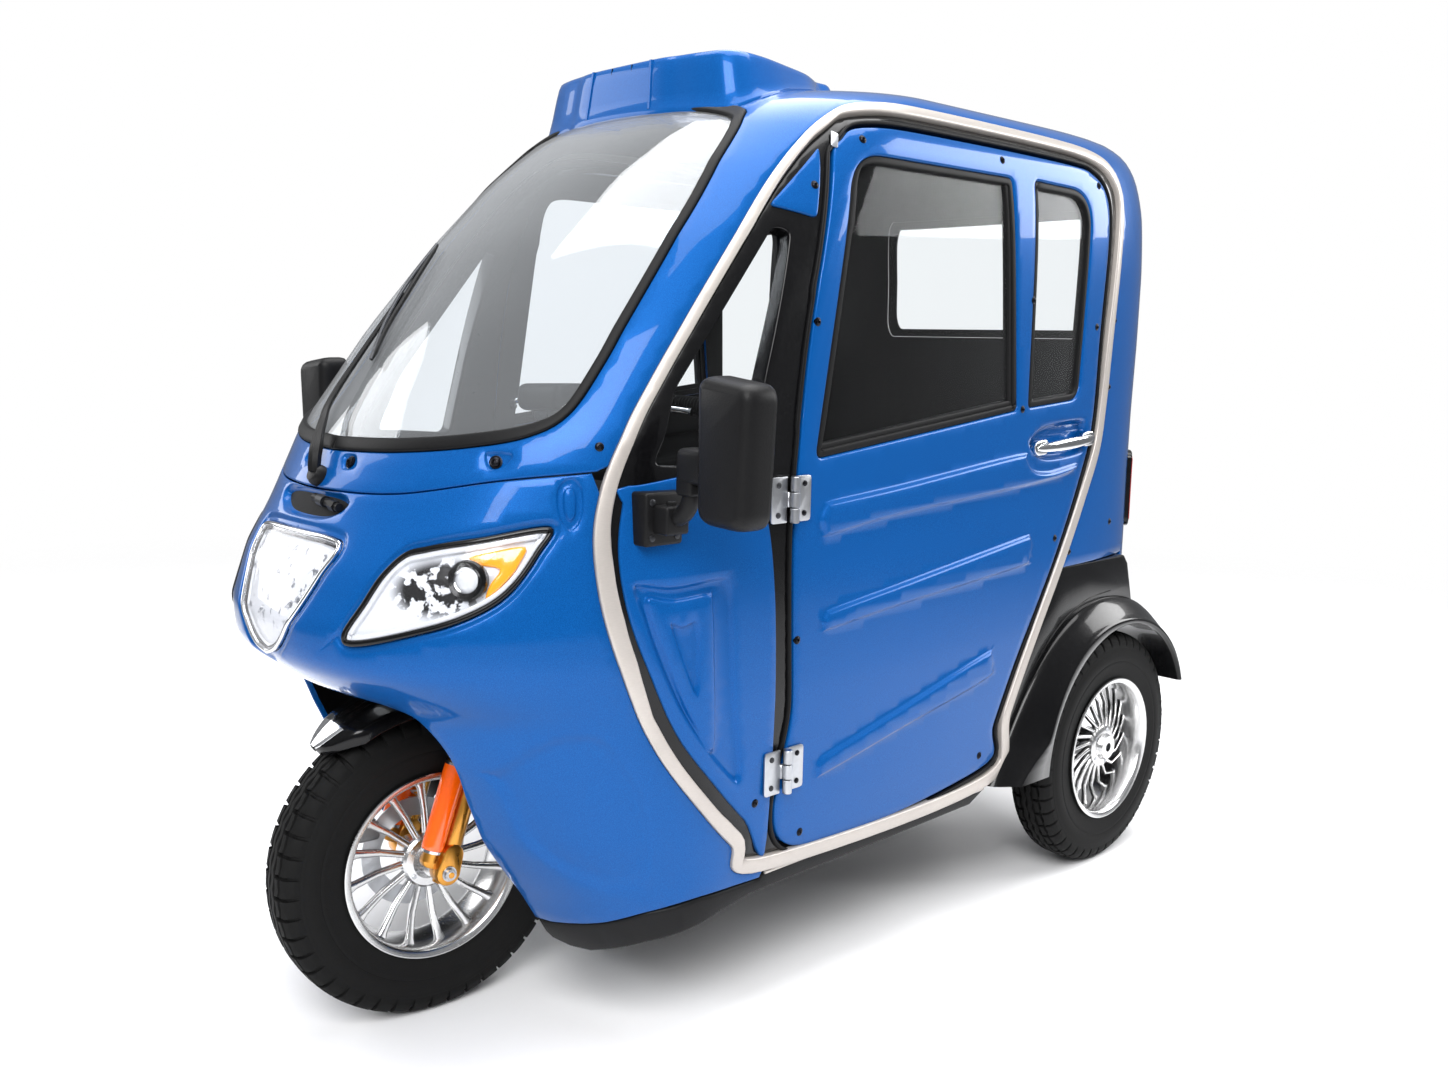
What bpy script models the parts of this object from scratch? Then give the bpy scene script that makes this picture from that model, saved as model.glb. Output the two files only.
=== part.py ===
"""Enclosed passenger tricycle: one steered front wheel, two rear wheels, two side doors.

The whole cabin comes from one skin. Each panel is a slab of that skin, cut out by an
outline seen from the side or from the front, so neighbours meet along shared lines.
X points to the vehicle's left, -Y ahead and Z up. The ground is Z = 0.
"""
import math

import bmesh
import bpy
from mathutils import Matrix, Vector

# Driving sizes in metres
BODY_LENGTH = 2.00
BODY_WIDTH = 0.90
BODY_HEIGHT = 1.59
WHEELBASE = 1.458
REAR_TRACK = 0.816
TYRE_RADIUS = 0.260
TYRE_HALF = 0.051
RIM_LIP_RADIUS = 0.159
RAKE = math.radians(20.0)
REST_TURN = math.radians(-6.0)
FORK_X = 0.082
LEG_R = 0.016
STEM_R = 0.014
SHOCK_R = 0.018
AXLE_R = 0.0096
HUB_BORE = 0.0101
FLOOR_Z = 0.250
GAP = 0.0004
DOOR_GAP = 0.0055
DOOR_THICK = 0.030
WALL = 0.014
GLASS = 0.005
SPOKES_FRONT = 16
SPOKES_REAR = 20
WHEEL_STEPS = 36
CLEAR = 0.010
SILL_DEEP = 0.0770
LAMP_BACK = -0.500
PANE_BACK = 0.500

# How far the tables below are stretched when a driving size changes
SX = BODY_WIDTH / 0.90
SY = BODY_LENGTH / 2.00
SZ = BODY_HEIGHT / 1.59

# Skin table: height, half width before the roof rounds it, nose, middle, back
SKIN = (
    (0.150, 0.435, -0.640, -0.450, 0.930),
    (0.250, 0.441, -0.700, -0.450, 0.930),
    (0.360, 0.446, -0.780, -0.450, 0.930),
    (0.500, 0.450, -0.855, -0.450, 0.930),
    (0.575, 0.452, -0.885, -0.450, 0.930),
    (0.620, 0.452, -0.950, -0.450, 0.930),
    (0.660, 0.452, -0.995, -0.450, 0.930),
    (0.720, 0.452, -1.000, -0.450, 0.930),
    (0.800, 0.451, -0.970, -0.450, 0.930),
    (0.870, 0.450, -0.925, -0.450, 0.930),
    (0.970, 0.450, -0.870, -0.450, 0.930),
    (1.000, 0.450, -0.850, -0.450, 0.930),
    (1.150, 0.450, -0.735, -0.330, 0.928),
    (1.300, 0.450, -0.600, -0.210, 0.920),
    (1.420, 0.450, -0.475, -0.110, 0.905),
    (1.500, 0.450, -0.370, -0.050, 0.885),
    (1.540, 0.450, -0.300, 0.010, 0.865),
    (1.565, 0.450, -0.220, 0.080, 0.830),
    (1.580, 0.450, -0.120, 0.140, 0.770),
    (1.590, 0.450, 0.020, 0.200, 0.640),
)
BELT = 1.0 * SZ
ROOF_POWER = 7.0
NOSE_POWER = 2.2
BACK_POWER = 7.0
FRONT_STEPS = 18
BACK_STEPS = 12
ROOF_ANGLES = (8, 20, 36, 54, 70, 84)
LEVELS = (0.150, 0.205, 0.280, 0.380, 0.500, 0.575, 0.620, 0.660, 0.720, 0.800, 0.870, 0.930,
          1.000, 1.090)

# Side outlines on the skin: y, z
TRIM = (
    (-0.354, 0.274), (-0.434, 0.340), (-0.500, 0.412), (-0.575, 0.510), (-0.629, 0.613),
    (-0.670, 0.724), (-0.684, 0.826), (-0.672, 0.911), (-0.637, 0.996), (-0.579, 1.081),
    (-0.479, 1.211), (-0.347, 1.372), (-0.262, 1.455), (-0.190, 1.505), (-0.110, 1.532),
    (0.050, 1.540), (0.420, 1.538), (0.580, 1.528), (0.645, 1.500), (0.672, 1.440),
    (0.668, 1.321), (0.655, 1.150), (0.648, 1.032), (0.630, 0.928), (0.571, 0.816),
    (0.489, 0.678), (0.412, 0.552), (0.341, 0.414), (0.279, 0.274),
)
DOOR = (
    (-0.290, 0.300), (-0.300, 0.557), (-0.308, 0.792), (-0.300, 0.953), (-0.275, 1.175),
    (-0.222, 1.413), (-0.190, 1.465), (-0.120, 1.492), (0.150, 1.497), (0.480, 1.494),
    (0.560, 1.484), (0.606, 1.450), (0.618, 1.380), (0.606, 1.176), (0.600, 0.992),
    (0.562, 0.880), (0.470, 0.711), (0.362, 0.540), (0.290, 0.400), (0.250, 0.312),
)
FRONT_PANE = (
    (-0.250, 0.955), (-0.180, 1.390), (-0.165, 1.425), (-0.130, 1.445), (0.270, 1.450),
    (0.298, 1.430), (0.306, 1.026), (0.290, 1.018),
)
REAR_PANE = (
    (0.362, 1.022), (0.362, 1.445), (0.500, 1.443), (0.536, 1.425), (0.546, 1.390),
    (0.548, 1.060), (0.535, 1.034),
)
GROOVES = (
    ((-0.240, 0.838), (-0.225, 0.880), (0.250, 0.915), (0.250, 0.893), (-0.200, 0.815)),
    ((-0.236, 0.678), (-0.215, 0.712), (0.364, 0.776), (0.366, 0.758), (-0.200, 0.664)),
    ((-0.222, 0.426), (-0.205, 0.452), (0.250, 0.552), (0.262, 0.536), (-0.190, 0.410)),
)
QUARTER = (
    (-0.348, 0.328), (-0.402, 0.374), (-0.470, 0.447), (-0.543, 0.537), (-0.596, 0.640),
    (-0.634, 0.735), (-0.648, 0.826), (-0.638, 0.905), (-0.628, 0.930), (-0.378, 0.885),
)
QUARTER_PANE = (
    (-0.618, 0.962), (-0.603, 1.010), (-0.554, 1.080), (-0.455, 1.206), (-0.318, 1.372),
    (-0.285, 1.360), (-0.325, 1.127), (-0.368, 0.915),
)
COWL_SEAM = ((-1.300, 0.850), (-0.904, 0.907), (-0.779, 0.938), (-0.600, 0.960))
SILL_LINE = ((-0.361, 0.262), (-0.492, 0.266), (-0.567, 0.251), (-0.610, 0.224),
             (-0.630, 0.210), (-0.641, 0.201), (-0.720, 0.205), (-1.300, 0.205))
SILL_LOW = ((-0.655, 0.165), (-0.610, 0.152), (-0.558, 0.192), (-0.487, 0.215),
            (-0.380, 0.236), (0.230, 0.242), (0.272, 0.262))
SHELL_SIDE = ((0.400, 0.690), (0.806, 0.690), (0.806, 0.612), (0.860, 0.612), (0.860, 0.450),
              (1.300, 0.450))
FENDER_SIDE = ((0.788, 0.670), (0.770, 0.690), (0.440, 0.690), (0.276, 0.310), (0.286, 0.272),
               (0.345, 0.265))
DASH_SIDE = ((-0.800, 0.870), (-0.550, 0.830), (-0.550, 0.900), (-0.620, 0.930),
             (-0.800, 0.905))

# Front outlines on the skin: x, z
SCREEN = ((0.000, 0.962), (0.150, 0.968), (0.260, 0.980), (0.330, 0.998), (0.358, 1.030),
          (0.362, 1.100), (0.358, 1.180), (0.345, 1.330), (0.322, 1.440), (0.300, 1.495),
          (0.270, 1.520), (0.150, 1.540), (0.000, 1.546))
HEADLIGHT = ((0.190, 0.700), (0.205, 0.766), (0.232, 0.829), (0.265, 0.846), (0.316, 0.859),
             (0.376, 0.874), (0.374, 0.835), (0.363, 0.787), (0.339, 0.753), (0.290, 0.725))
CENTRE_LIGHT = ((0.000, 0.655), (0.045, 0.674), (0.085, 0.720), (0.120, 0.790), (0.132, 0.834),
                (0.100, 0.846), (0.000, 0.848))
ARCH = ((0.212, 0.100), (0.212, 0.211), (0.208, 0.318), (0.219, 0.420), (0.229, 0.510),
        (0.187, 0.581), (0.130, 0.598), (0.000, 0.605))
REAR_PANE_BACK = ((0.000, 1.160), (0.330, 1.160), (0.355, 1.180), (0.355, 1.420),
                  (0.325, 1.452), (0.000, 1.455))

# Roof scoop seen from above, its left half: x, y
SCOOP = ((0.090, -0.318), (0.205, -0.300), (0.250, -0.285), (0.268, -0.250), (0.262, -0.190),
         (0.215, -0.040), (0.140, 0.080))
# Wiper arm and blade on the screen: x, z, height over the skin
WIPER_ARM = ((0.000, 0.905, -0.020), (-0.004, 0.945, 0.022), (-0.070, 1.040, 0.016),
             (-0.096, 1.200, 0.010))
WIPER_BLADE = ((-0.045, 1.095, 0.0065), (-0.095, 1.200, 0.0065), (-0.140, 1.290, 0.0065))
# Rear arch flare: angle in degrees from the back, radius inside, on the body and at the lip
FLARE = ((24, 0.282, 0.296, 0.292), (40, 0.282, 0.312, 0.297), (58, 0.282, 0.325, 0.298),
         (75, 0.282, 0.336, 0.298), (92, 0.282, 0.344, 0.300), (108, 0.282, 0.352, 0.306),
         (124, 0.282, 0.357, 0.311), (140, 0.282, 0.362, 0.308), (154, 0.282, 0.372, 0.304),
         (165, 0.282, 0.390, 0.308), (172, 0.282, 0.415, 0.350), (179, 0.282, 0.440, 0.395))
# Front fender across the wheel: x, height over its base; and how wide it is near its tip
FENDER_DOME = ((-1.00, -0.030), (-1.00, -0.012), (-0.70, 0.001), (-0.30, 0.008),
               (0.30, 0.008), (0.70, 0.001), (1.00, -0.012), (1.00, -0.030))
FENDER_TIP = (0.45, 0.85, 0.98)
# Frame: cross bars as y, z and the side of the rails; floor behind the driver; leaf spring
CROSS_BARS = ((-0.380, 0.202), (0.000, 0.202), (0.420, 0.202), (0.520, 0.387), (0.880, 0.387))
RAIL_SIDE = ((-0.400, 0.200), (0.505, 0.200), (0.505, 0.385), (0.900, 0.385),
             (0.900, 0.4396), (0.460, 0.4396), (0.460, 0.2496), (-0.400, 0.2496))
DECK_SIDE = ((0.262, 0.250), (0.268, 0.250), (0.450, 0.250), (0.450, 0.440), (0.860, 0.440),
             (0.860, 0.446), (0.444, 0.446), (0.444, 0.256), (0.262, 0.256))
HANDLEBAR = ((-0.300, 0.100, 0.020), (-0.170, 0.050, 0.030), (-0.080, 0.000, 0.000),
             (0.080, 0.000, 0.000), (0.170, 0.050, 0.030), (0.300, 0.100, 0.020))
GRIP = ((-0.060, 0.000), (-0.056, 0.018), (-0.040, 0.026), (0.040, 0.030), (0.056, 0.022),
        (0.060, 0.000))

COLOURS = {
    "paint": ((0.03, 0.16, 0.62, 1.0), 0.3, 0.25),
    "black": ((0.02, 0.02, 0.02, 1.0), 0.0, 0.5),
    "rubber": ((0.015, 0.015, 0.015, 1.0), 0.0, 0.85),
    "alloy": ((0.75, 0.76, 0.78, 1.0), 1.0, 0.25),
    "silver": ((0.62, 0.60, 0.57, 1.0), 0.6, 0.4),
    "glass": ((0.75, 0.8, 0.82, 1.0), 0.0, 0.05),
    "lamp": ((0.85, 0.88, 0.9, 1.0), 0.2, 0.1),
    "gold": ((0.62, 0.36, 0.08, 1.0), 0.8, 0.35),
    "orange": ((0.9, 0.16, 0.02, 1.0), 0.2, 0.3),
    "red": ((0.5, 0.01, 0.01, 1.0), 0.0, 0.3),
    "seat": ((0.03, 0.025, 0.025, 1.0), 0.0, 0.7),
    "steel": ((0.25, 0.26, 0.27, 1.0), 0.9, 0.4),
    "chrome": ((0.85, 0.85, 0.86, 1.0), 1.0, 0.1),
}


def clear_scene():
    """Removes every object, so that the part starts from an empty scene."""
    for item in list(bpy.data.objects):
        bpy.data.objects.remove(item, do_unlink=True)


def lerp_row(table, key):
    """The row of a table at a key in its first column, between rows by straight lines."""
    if key <= table[0][0]:
        return table[0]
    for low, high in zip(table, table[1:]):
        if key <= high[0]:
            share = (key - low[0]) / (high[0] - low[0])
            return tuple(a + (b - a) * share for a, b in zip(low, high))
    return table[-1]


def section(z, inset):
    """Half width, nose, middle and back of the skin at a height, moved inwards."""
    row = lerp_row(SKIN, z / SZ)
    top = BODY_HEIGHT - inset
    rise = max(0.0, min(1.0, (z - BELT) / (top - BELT)))
    rounding = (1.0 - rise ** ROOF_POWER) ** (1.0 / ROOF_POWER)
    half = (row[1] * SX - inset) * rounding
    nose = row[2] * SY + inset * (1.0 + 0.35 * rise)
    return half, nose, row[3] * SY, row[4] * SY - inset


def ring(z, inset):
    """One closed plan ring of the skin, counter-clockwise from the left side over the back."""
    half, nose, middle, back = section(z, inset)
    points = []
    for step in range(BACK_STEPS + 1):
        angle = math.pi * step / BACK_STEPS
        c, s = math.cos(angle), math.sin(angle)
        x = math.copysign(abs(c) ** (2.0 / BACK_POWER), c) * half
        points.append(Vector((x, middle + (back - middle) * abs(s) ** (2.0 / BACK_POWER), z)))
    for step in range(1, FRONT_STEPS):
        angle = math.pi * step / FRONT_STEPS
        c, s = math.cos(angle), math.sin(angle)
        x = -math.copysign(abs(c) ** (2.0 / NOSE_POWER), c) * half
        points.append(Vector((x, middle - (middle - nose) * abs(s) ** (2.0 / NOSE_POWER), z)))
    return points


def skin_levels(inset):
    """Heights of the plan rings from the bottom to the roof."""
    top = BODY_HEIGHT - inset
    roof = [BELT + (top - BELT) * math.sin(math.radians(a)) ** (2.0 / ROOF_POWER)
            for a in ROOF_ANGLES]
    low = [z * SZ for z in LEVELS if z * SZ < roof[0] - 0.03]
    return low + roof


def add_rings(bm, rings, split=False):
    """Adds a band of faces between successive closed rings and returns their vertices."""
    rows = [[bm.verts.new(p) for p in points] for points in rings]
    for low, high in zip(rows, rows[1:]):
        count = len(low)
        for i in range(count):
            j = (i + 1) % count
            if split:
                bm.faces.new((low[i], low[j], high[j]))
                bm.faces.new((low[i], high[j], high[i]))
            else:
                bm.faces.new((low[i], low[j], high[j], high[i]))
    return rows


def finish(bm, name):
    """Turns a mesh with faces out into an object in the scene."""
    bmesh.ops.remove_doubles(bm, verts=bm.verts, dist=1e-6)
    bmesh.ops.recalc_face_normals(bm, faces=bm.faces)
    mesh = bpy.data.meshes.new(name)
    bm.to_mesh(mesh)
    bm.free()
    item = bpy.data.objects.new(name, mesh)
    bpy.context.scene.collection.objects.link(item)
    return item


def skin_slab(outer, inner):
    """The closed slab of skin between two insets, open at the bottom like a bell."""
    bm = bmesh.new()
    low = add_rings(bm, [ring(z, outer) for z in skin_levels(outer)], True)
    high = add_rings(bm, [ring(z, inner) for z in skin_levels(inner)], True)
    bm.faces.new(low[-1])
    bm.faces.new(high[-1])
    count = len(low[0])
    for i in range(count):
        j = (i + 1) % count
        bm.faces.new((low[0][i], low[0][j], high[0][j], high[0][i]))
    return finish(bm, "slab")


def skin_core(inset):
    """The solid room inside the skin at an inset, down to its lowest ring."""
    bm = bmesh.new()
    rows = add_rings(bm, [ring(z, inset) for z in skin_levels(inset)], True)
    bm.faces.new(rows[0])
    bm.faces.new(rows[-1])
    return finish(bm, "core")


def on_front(x, z, lift):
    """A point over the front of the skin."""
    half, nose, middle, back = section(z * SZ, -lift)
    side = min(1.0, abs(x * SX) / half)
    along = (1.0 - side ** NOSE_POWER) ** (1.0 / NOSE_POWER)
    return Vector((x * SX, middle - (middle - nose) * along, z * SZ))


def offset_outline(points, distance):
    """A closed outline moved outwards by a distance, or inwards when it is negative."""
    area = sum(a[0] * b[1] - b[0] * a[1] for a, b in zip(points, points[1:] + points[:1]))
    sign = 1.0 if area > 0 else -1.0
    moved = []
    count = len(points)
    for i in range(count):
        before, here, after = points[i - 1], points[i], points[(i + 1) % count]
        d1 = Vector((here[0] - before[0], here[1] - before[1])).normalized()
        d2 = Vector((after[0] - here[0], after[1] - here[1])).normalized()
        n1 = Vector((d1.y, -d1.x)) * sign
        n2 = Vector((d2.y, -d2.x)) * sign
        mean = (n1 + n2).normalized()
        reach = distance / max(0.5, mean.dot(n1))
        moved.append((here[0] + mean.x * reach, here[1] + mean.y * reach))
    return moved


def scaled(points, sideways=True):
    """An outline table stretched to the driving sizes."""
    first = SY if sideways else SX
    return [(a * first, z * SZ) for a, z in points]


def mirrored(points):
    """A closed front outline from its left half."""
    half = scaled(points, False)
    return half + [(-x, z) for x, z in reversed(half) if x > 1e-6]


def prism(outline, low, high, axis="X"):
    """A closed prism from an outline in the plane across the axis."""
    bm = bmesh.new()
    rows = []
    for level in (low, high):
        if axis == "X":
            rows.append([(level, a, b) for a, b in outline])
        elif axis == "Y":
            rows.append([(a, level, b) for a, b in outline])
        else:
            rows.append([(a, b, level) for a, b in outline])
    verts = add_rings(bm, rows)
    bm.faces.new(verts[0])
    bm.faces.new(verts[1])
    return finish(bm, "prism")


def loft(low_outline, high_outline, low, high):
    """A closed body between two outlines at two widths."""
    bm = bmesh.new()
    rows = add_rings(bm, [[(low, a, b) for a, b in low_outline],
                          [(high, a, b) for a, b in high_outline]], True)
    bm.faces.new(rows[0])
    bm.faces.new(rows[1])
    return finish(bm, "loft")


def turned(profile, steps, axis="X", centre=(0.0, 0.0, 0.0)):
    """A closed body turned about an axis, from a closed profile of along, radius pairs."""
    bm = bmesh.new()
    rings = []
    for step in range(steps):
        angle = 2.0 * math.pi * step / steps
        c, s = math.cos(angle), math.sin(angle)
        if axis == "X":
            rings.append([(centre[0] + a, centre[1] + r * c, centre[2] + r * s)
                          for a, r in profile])
        elif axis == "Y":
            rings.append([(centre[0] + r * c, centre[1] + a, centre[2] + r * s)
                          for a, r in profile])
        else:
            rings.append([(centre[0] + r * c, centre[1] + r * s, centre[2] + a)
                          for a, r in profile])
    add_rings(bm, rings + [rings[0]])
    return finish(bm, "turned")


def sweep(path, radius, sides=14):
    """A closed round bar along a path of points, mitred at the bends."""
    points = [Vector(p) for p in path]
    bm = bmesh.new()
    rings = []
    side = None
    for i, point in enumerate(points):
        before = (point - points[i - 1]).normalized() if i else None
        after = (points[i + 1] - point).normalized() if i + 1 < len(points) else None
        along = (before or after) if before is None or after is None else (
            before + after).normalized()
        if side is None:
            side = along.orthogonal().normalized()
        side = (side - along * side.dot(along)).normalized()
        other = along.cross(side)
        bend = along.dot(before) if before is not None else 1.0
        rings.append([point + (side * math.cos(a) + other * math.sin(a)) * radius / max(0.8, bend)
                      for a in (2.0 * math.pi * k / sides for k in range(sides))])
    verts = add_rings(bm, rings)
    bm.faces.new(verts[0])
    bm.faces.new(verts[-1])
    return finish(bm, "sweep")


def box(low, high):
    """A closed box between two corners."""
    outline = [(low[1], low[2]), (high[1], low[2]), (high[1], high[2]), (low[1], high[2])]
    return prism(outline, low[0], high[0])


def soft_box(low, high, round_by, steps=4):
    """A box with rounded edges, for cushions and housings."""
    item = box(low, high)
    bm = bmesh.new()
    bm.from_mesh(item.data)
    bmesh.ops.bevel(bm, geom=bm.edges[:], offset=round_by, segments=steps, profile=0.5,
                    affect="EDGES")
    bm.to_mesh(item.data)
    bm.free()
    return item


def combine(base, tools, how):
    """Joins or cuts a body with others by an exact boolean, and removes those others."""
    for tool in tools:
        tidy(base)
        step = base.modifiers.new("step", "BOOLEAN")
        step.operation = how
        step.solver = "EXACT"
        step.object = tool
        bpy.context.view_layer.update()
        graph = bpy.context.evaluated_depsgraph_get()
        mesh = bpy.data.meshes.new_from_object(base.evaluated_get(graph))
        base.modifiers.clear()
        base.data = mesh
        bpy.data.objects.remove(tool, do_unlink=True)
    return base


def keep(base, *tools):
    return combine(base, tools, "INTERSECT")


def cut(base, *tools):
    return combine(base, tools, "DIFFERENCE")


def join(base, *tools):
    return combine(base, tools, "UNION")


def twin(item):
    """The same body on the other side of the vehicle."""
    bm = bmesh.new()
    bm.from_mesh(item.data)
    bmesh.ops.transform(bm, matrix=Matrix.Diagonal((-1.0, 1.0, 1.0, 1.0)), verts=bm.verts)
    bmesh.ops.reverse_faces(bm, faces=bm.faces)
    return finish(bm, "twin")


def tidy(item):
    """Merges points closer than a hundredth of a millimetre and makes plain triangles."""
    bm = bmesh.new()
    bm.from_mesh(item.data)
    bmesh.ops.remove_doubles(bm, verts=bm.verts, dist=2e-5)
    bmesh.ops.dissolve_degenerate(bm, dist=2e-5, edges=bm.edges)
    bmesh.ops.dissolve_limit(bm, angle_limit=FLAT, verts=bm.verts, edges=bm.edges)
    bmesh.ops.triangulate(bm, faces=bm.faces)
    bm.to_mesh(item.data)
    bm.free()


def place(item, name, colour, pivot=(0.0, 0.0, 0.0), turn=None):
    """Names a body, gives it its material and sets its origin on its joint axis."""
    tidy(item)
    if turn is not None:
        item.data.transform(turn)
    item.name = name
    item.data.name = name
    item.data.transform(Matrix.Translation(-Vector(pivot)))
    item.location = pivot
    material = bpy.data.materials.new(name)
    material.use_nodes = True
    shader = material.node_tree.nodes["Principled BSDF"]
    base, metallic, rough = COLOURS[colour]
    shader.inputs["Base Color"].default_value = base
    shader.inputs["Metallic"].default_value = metallic
    shader.inputs["Roughness"].default_value = rough
    item.data.materials.clear()
    item.data.materials.append(material)
    return item


def place_pair(item, name, colour, pivot=(0.0, 0.0, 0.0)):
    """Places a body on the left and its mirror image on the right."""
    tidy(item)
    other = twin(item)
    place(item, name + "_left", colour, pivot)
    place(other, name + "_right", colour, (-pivot[0], pivot[1], pivot[2]))


REACH = 2.0
FLAT = math.radians(0.05)
BAR_Z = 1.0 * SZ
FRONT_AXLE = Vector((0.0, -WHEELBASE / 2.0, TYRE_RADIUS))
REAR_AXLE = Vector((REAR_TRACK / 2.0, WHEELBASE / 2.0, TYRE_RADIUS))
ROOM = REAR_AXLE.x - TYRE_HALF
WHEEL_LIFT = TYRE_RADIUS - 0.260
TRIM_WIDE = 0.024 * min(1.0, SY, SZ)
CROWN_Z = FRONT_AXLE.z + 0.338
STEER_DIR = Vector((0.0, math.sin(RAKE), math.cos(RAKE)))
STEER_BASE = FRONT_AXLE + Vector((0.0, 0.029, 0.0))
HINGE_X = 0.450 * SX + 0.012
HINGE_Z = (0.442, 0.892)
HINGE_Y = -0.322 * SY


def steer_point(z):
    """The point of the steering axis at a height."""
    return STEER_BASE + STEER_DIR * ((z - STEER_BASE.z) / STEER_DIR.z)


def rest_turn():
    """The turn of the steering from straight ahead to how it stands."""
    return (Matrix.Translation(STEER_BASE) @ Matrix.Rotation(REST_TURN, 4, STEER_DIR)
            @ Matrix.Translation(-STEER_BASE))


def on_skin(item):
    """Cuts away what lies behind the skin, so that the piece sits on it."""
    return cut(item, skin_slab(-GAP, 0.08))


def side_prism(table, grow=0.0, low=0.05):
    """A prism through the left side from a side outline."""
    return prism(offset_outline(scaled(table), grow), low, REACH)


def front_prism(table, grow=0.0, back=-0.20):
    """A prism through the front from the left half of a front outline."""
    return prism(offset_outline(mirrored(table), grow), -REACH, back * SY, "Y")


def make_panels():
    """The painted shell, doors, side panels, trim and glass."""
    hole = offset_outline(scaled(TRIM), GAP)
    seam = scaled(COWL_SEAM)

    edge = [(y, z) for y, z in hole if y < -0.352 * SY and z < 0.94 * SZ]
    front = [(y, z - GAP) for y, z in seam[:-1]] + [(-0.666 * SY, 0.9515 * SZ)]
    front += edge[::-1] + scaled(SILL_LINE)
    fascia = keep(skin_slab(0.0, WALL), prism(front, -REACH, REACH))
    fascia = cut(fascia, front_prism(ARCH, back=-0.31))
    for side in (1.0, -1.0):
        lamp = [(x * side * SX, z * SZ) for x, z in HEADLIGHT]
        pocket = keep(skin_slab(-CLEAR, WALL + CLEAR),
                      prism(offset_outline(lamp, GAP), -REACH, LAMP_BACK * SY, "Y"))
        fascia = cut(fascia, pocket)
    fascia = cut(fascia, keep(skin_slab(-CLEAR, WALL + CLEAR), front_prism(CENTRE_LIGHT, GAP)))
    place(fascia, "front_fascia", "paint")

    shell = skin_slab(0.0, WALL)
    above = [(y, z + GAP) for y, z in seam] + [(SHELL_SIDE[0][0] * SY, 0.960 * SZ)]
    above += [(min(y * SY, lengthwise(y)) if y < 0.5 else lengthwise(y), z + WHEEL_LIFT)
              for y, z in SHELL_SIDE]
    above += [(1.3 * SY, REACH * SZ), (-1.3 * SY, REACH * SZ)]
    shell = keep(shell, prism(above, -REACH, REACH))
    shell = cut(shell, prism(hole, -REACH, REACH), front_prism(SCREEN),
                prism(mirrored(REAR_PANE_BACK), PANE_BACK * SY, REACH, "Y"))
    for side in (-1.0, 1.0):
        ends = sorted((side * (ROOM - 0.017), side * REACH))
        top = SHELL_SIDE[2][1] + WHEEL_LIFT
        shell = cut(shell, box((ends[0], PANE_BACK * SY, 0.0), (ends[1], REACH, top)))
    place(shell, "body_shell", "paint")

    screen = keep(skin_slab(0.003, 0.003 + GLASS), front_prism(SCREEN, -GAP))
    place(screen, "windshield", "glass")
    back_pane = keep(skin_slab(0.003, 0.003 + GLASS),
                     prism(offset_outline(mirrored(REAR_PANE_BACK), -GAP), PANE_BACK * SY,
                           REACH, "Y"))
    place(back_pane, "rear_window", "glass")

    lamp = scaled(HEADLIGHT, False)
    headlight = keep(skin_slab(-0.002, WALL),
                     prism(offset_outline(lamp, -GAP), -REACH, LAMP_BACK * SY, "Y"))
    place_pair(headlight, "headlight", "lamp")
    centre = keep(skin_slab(-0.002, WALL), front_prism(CENTRE_LIGHT, -GAP))
    place(centre, "centre_light", "lamp")

    trim = keep(skin_slab(-0.005, WALL - 0.002), side_prism(TRIM))
    trim = cut(trim, side_prism(TRIM, -TRIM_WIDE))
    place_pair(trim, "side_trim", "silver")

    jamb = keep(skin_slab(0.003, 0.036), side_prism(TRIM, -TRIM_WIDE - GAP))
    jamb = cut(jamb, side_prism(DOOR, DOOR_GAP), side_prism(QUARTER, GAP),
               side_prism(QUARTER_PANE, GAP))
    jamb = join(jamb, *[hinge_half(z * SZ, True) for z in HINGE_Z])
    place_pair(jamb, "door_jamb", "black")

    quarter = keep(skin_slab(0.0, WALL), side_prism(QUARTER))
    place_pair(quarter, "side_panel", "paint")
    pane = keep(skin_slab(0.006, 0.006 + GLASS), side_prism(QUARTER_PANE),
                side_prism(TRIM, -TRIM_WIDE - GAP))
    place_pair(pane, "side_glass", "glass")

    hinge = (HINGE_X, HINGE_Y, 0.30 * SZ)
    door = keep(skin_slab(0.0, DOOR_THICK), side_prism(DOOR))
    door = cut(door, side_prism(FRONT_PANE), side_prism(REAR_PANE))
    for groove in GROOVES:
        door = cut(door, keep(skin_slab(-0.01, 0.006), side_prism(groove)))
    door = join(door, *[hinge_half(z * SZ, False) for z in HINGE_Z])
    place_pair(door, "door", "paint", hinge)
    for name, table in (("door_glass", FRONT_PANE), ("vent_glass", REAR_PANE)):
        pane = keep(skin_slab(0.010, 0.010 + GLASS), side_prism(table, -GAP))
        place_pair(pane, name, "glass", hinge)
    spot = Vector((0.450 * SX - 0.003, 0.475 * SY, 0.962 * SZ))
    handle = sweep([spot + Vector((0.0, y, 0.0)) + Vector((x, 0.0, y * 0.12))
                    for y, x in GRIP], 0.007)
    handle = on_skin(handle)
    place_pair(handle, "door_handle", "chrome", hinge)

    scoop = list(SCOOP) + [(-x, y) for x, y in reversed(SCOOP)]
    bm = bmesh.new()
    low = [(x * SX, y * SY, 1.40 * SZ) for x, y in scoop]
    high = [(x * SX * 0.9, y * SY * 0.96, 1.618 * SZ) for x, y in scoop]
    rows = add_rings(bm, [low, high])
    bm.faces.new(rows[0])
    bm.faces.new(rows[1])
    roof = skin_core(0.0)
    roof.data.transform(Matrix.Translation((0.0, 0.0, 2 * GAP)))
    return place(largest(cut(finish(bm, "scoop"), roof)), "roof_scoop", "paint")


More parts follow.
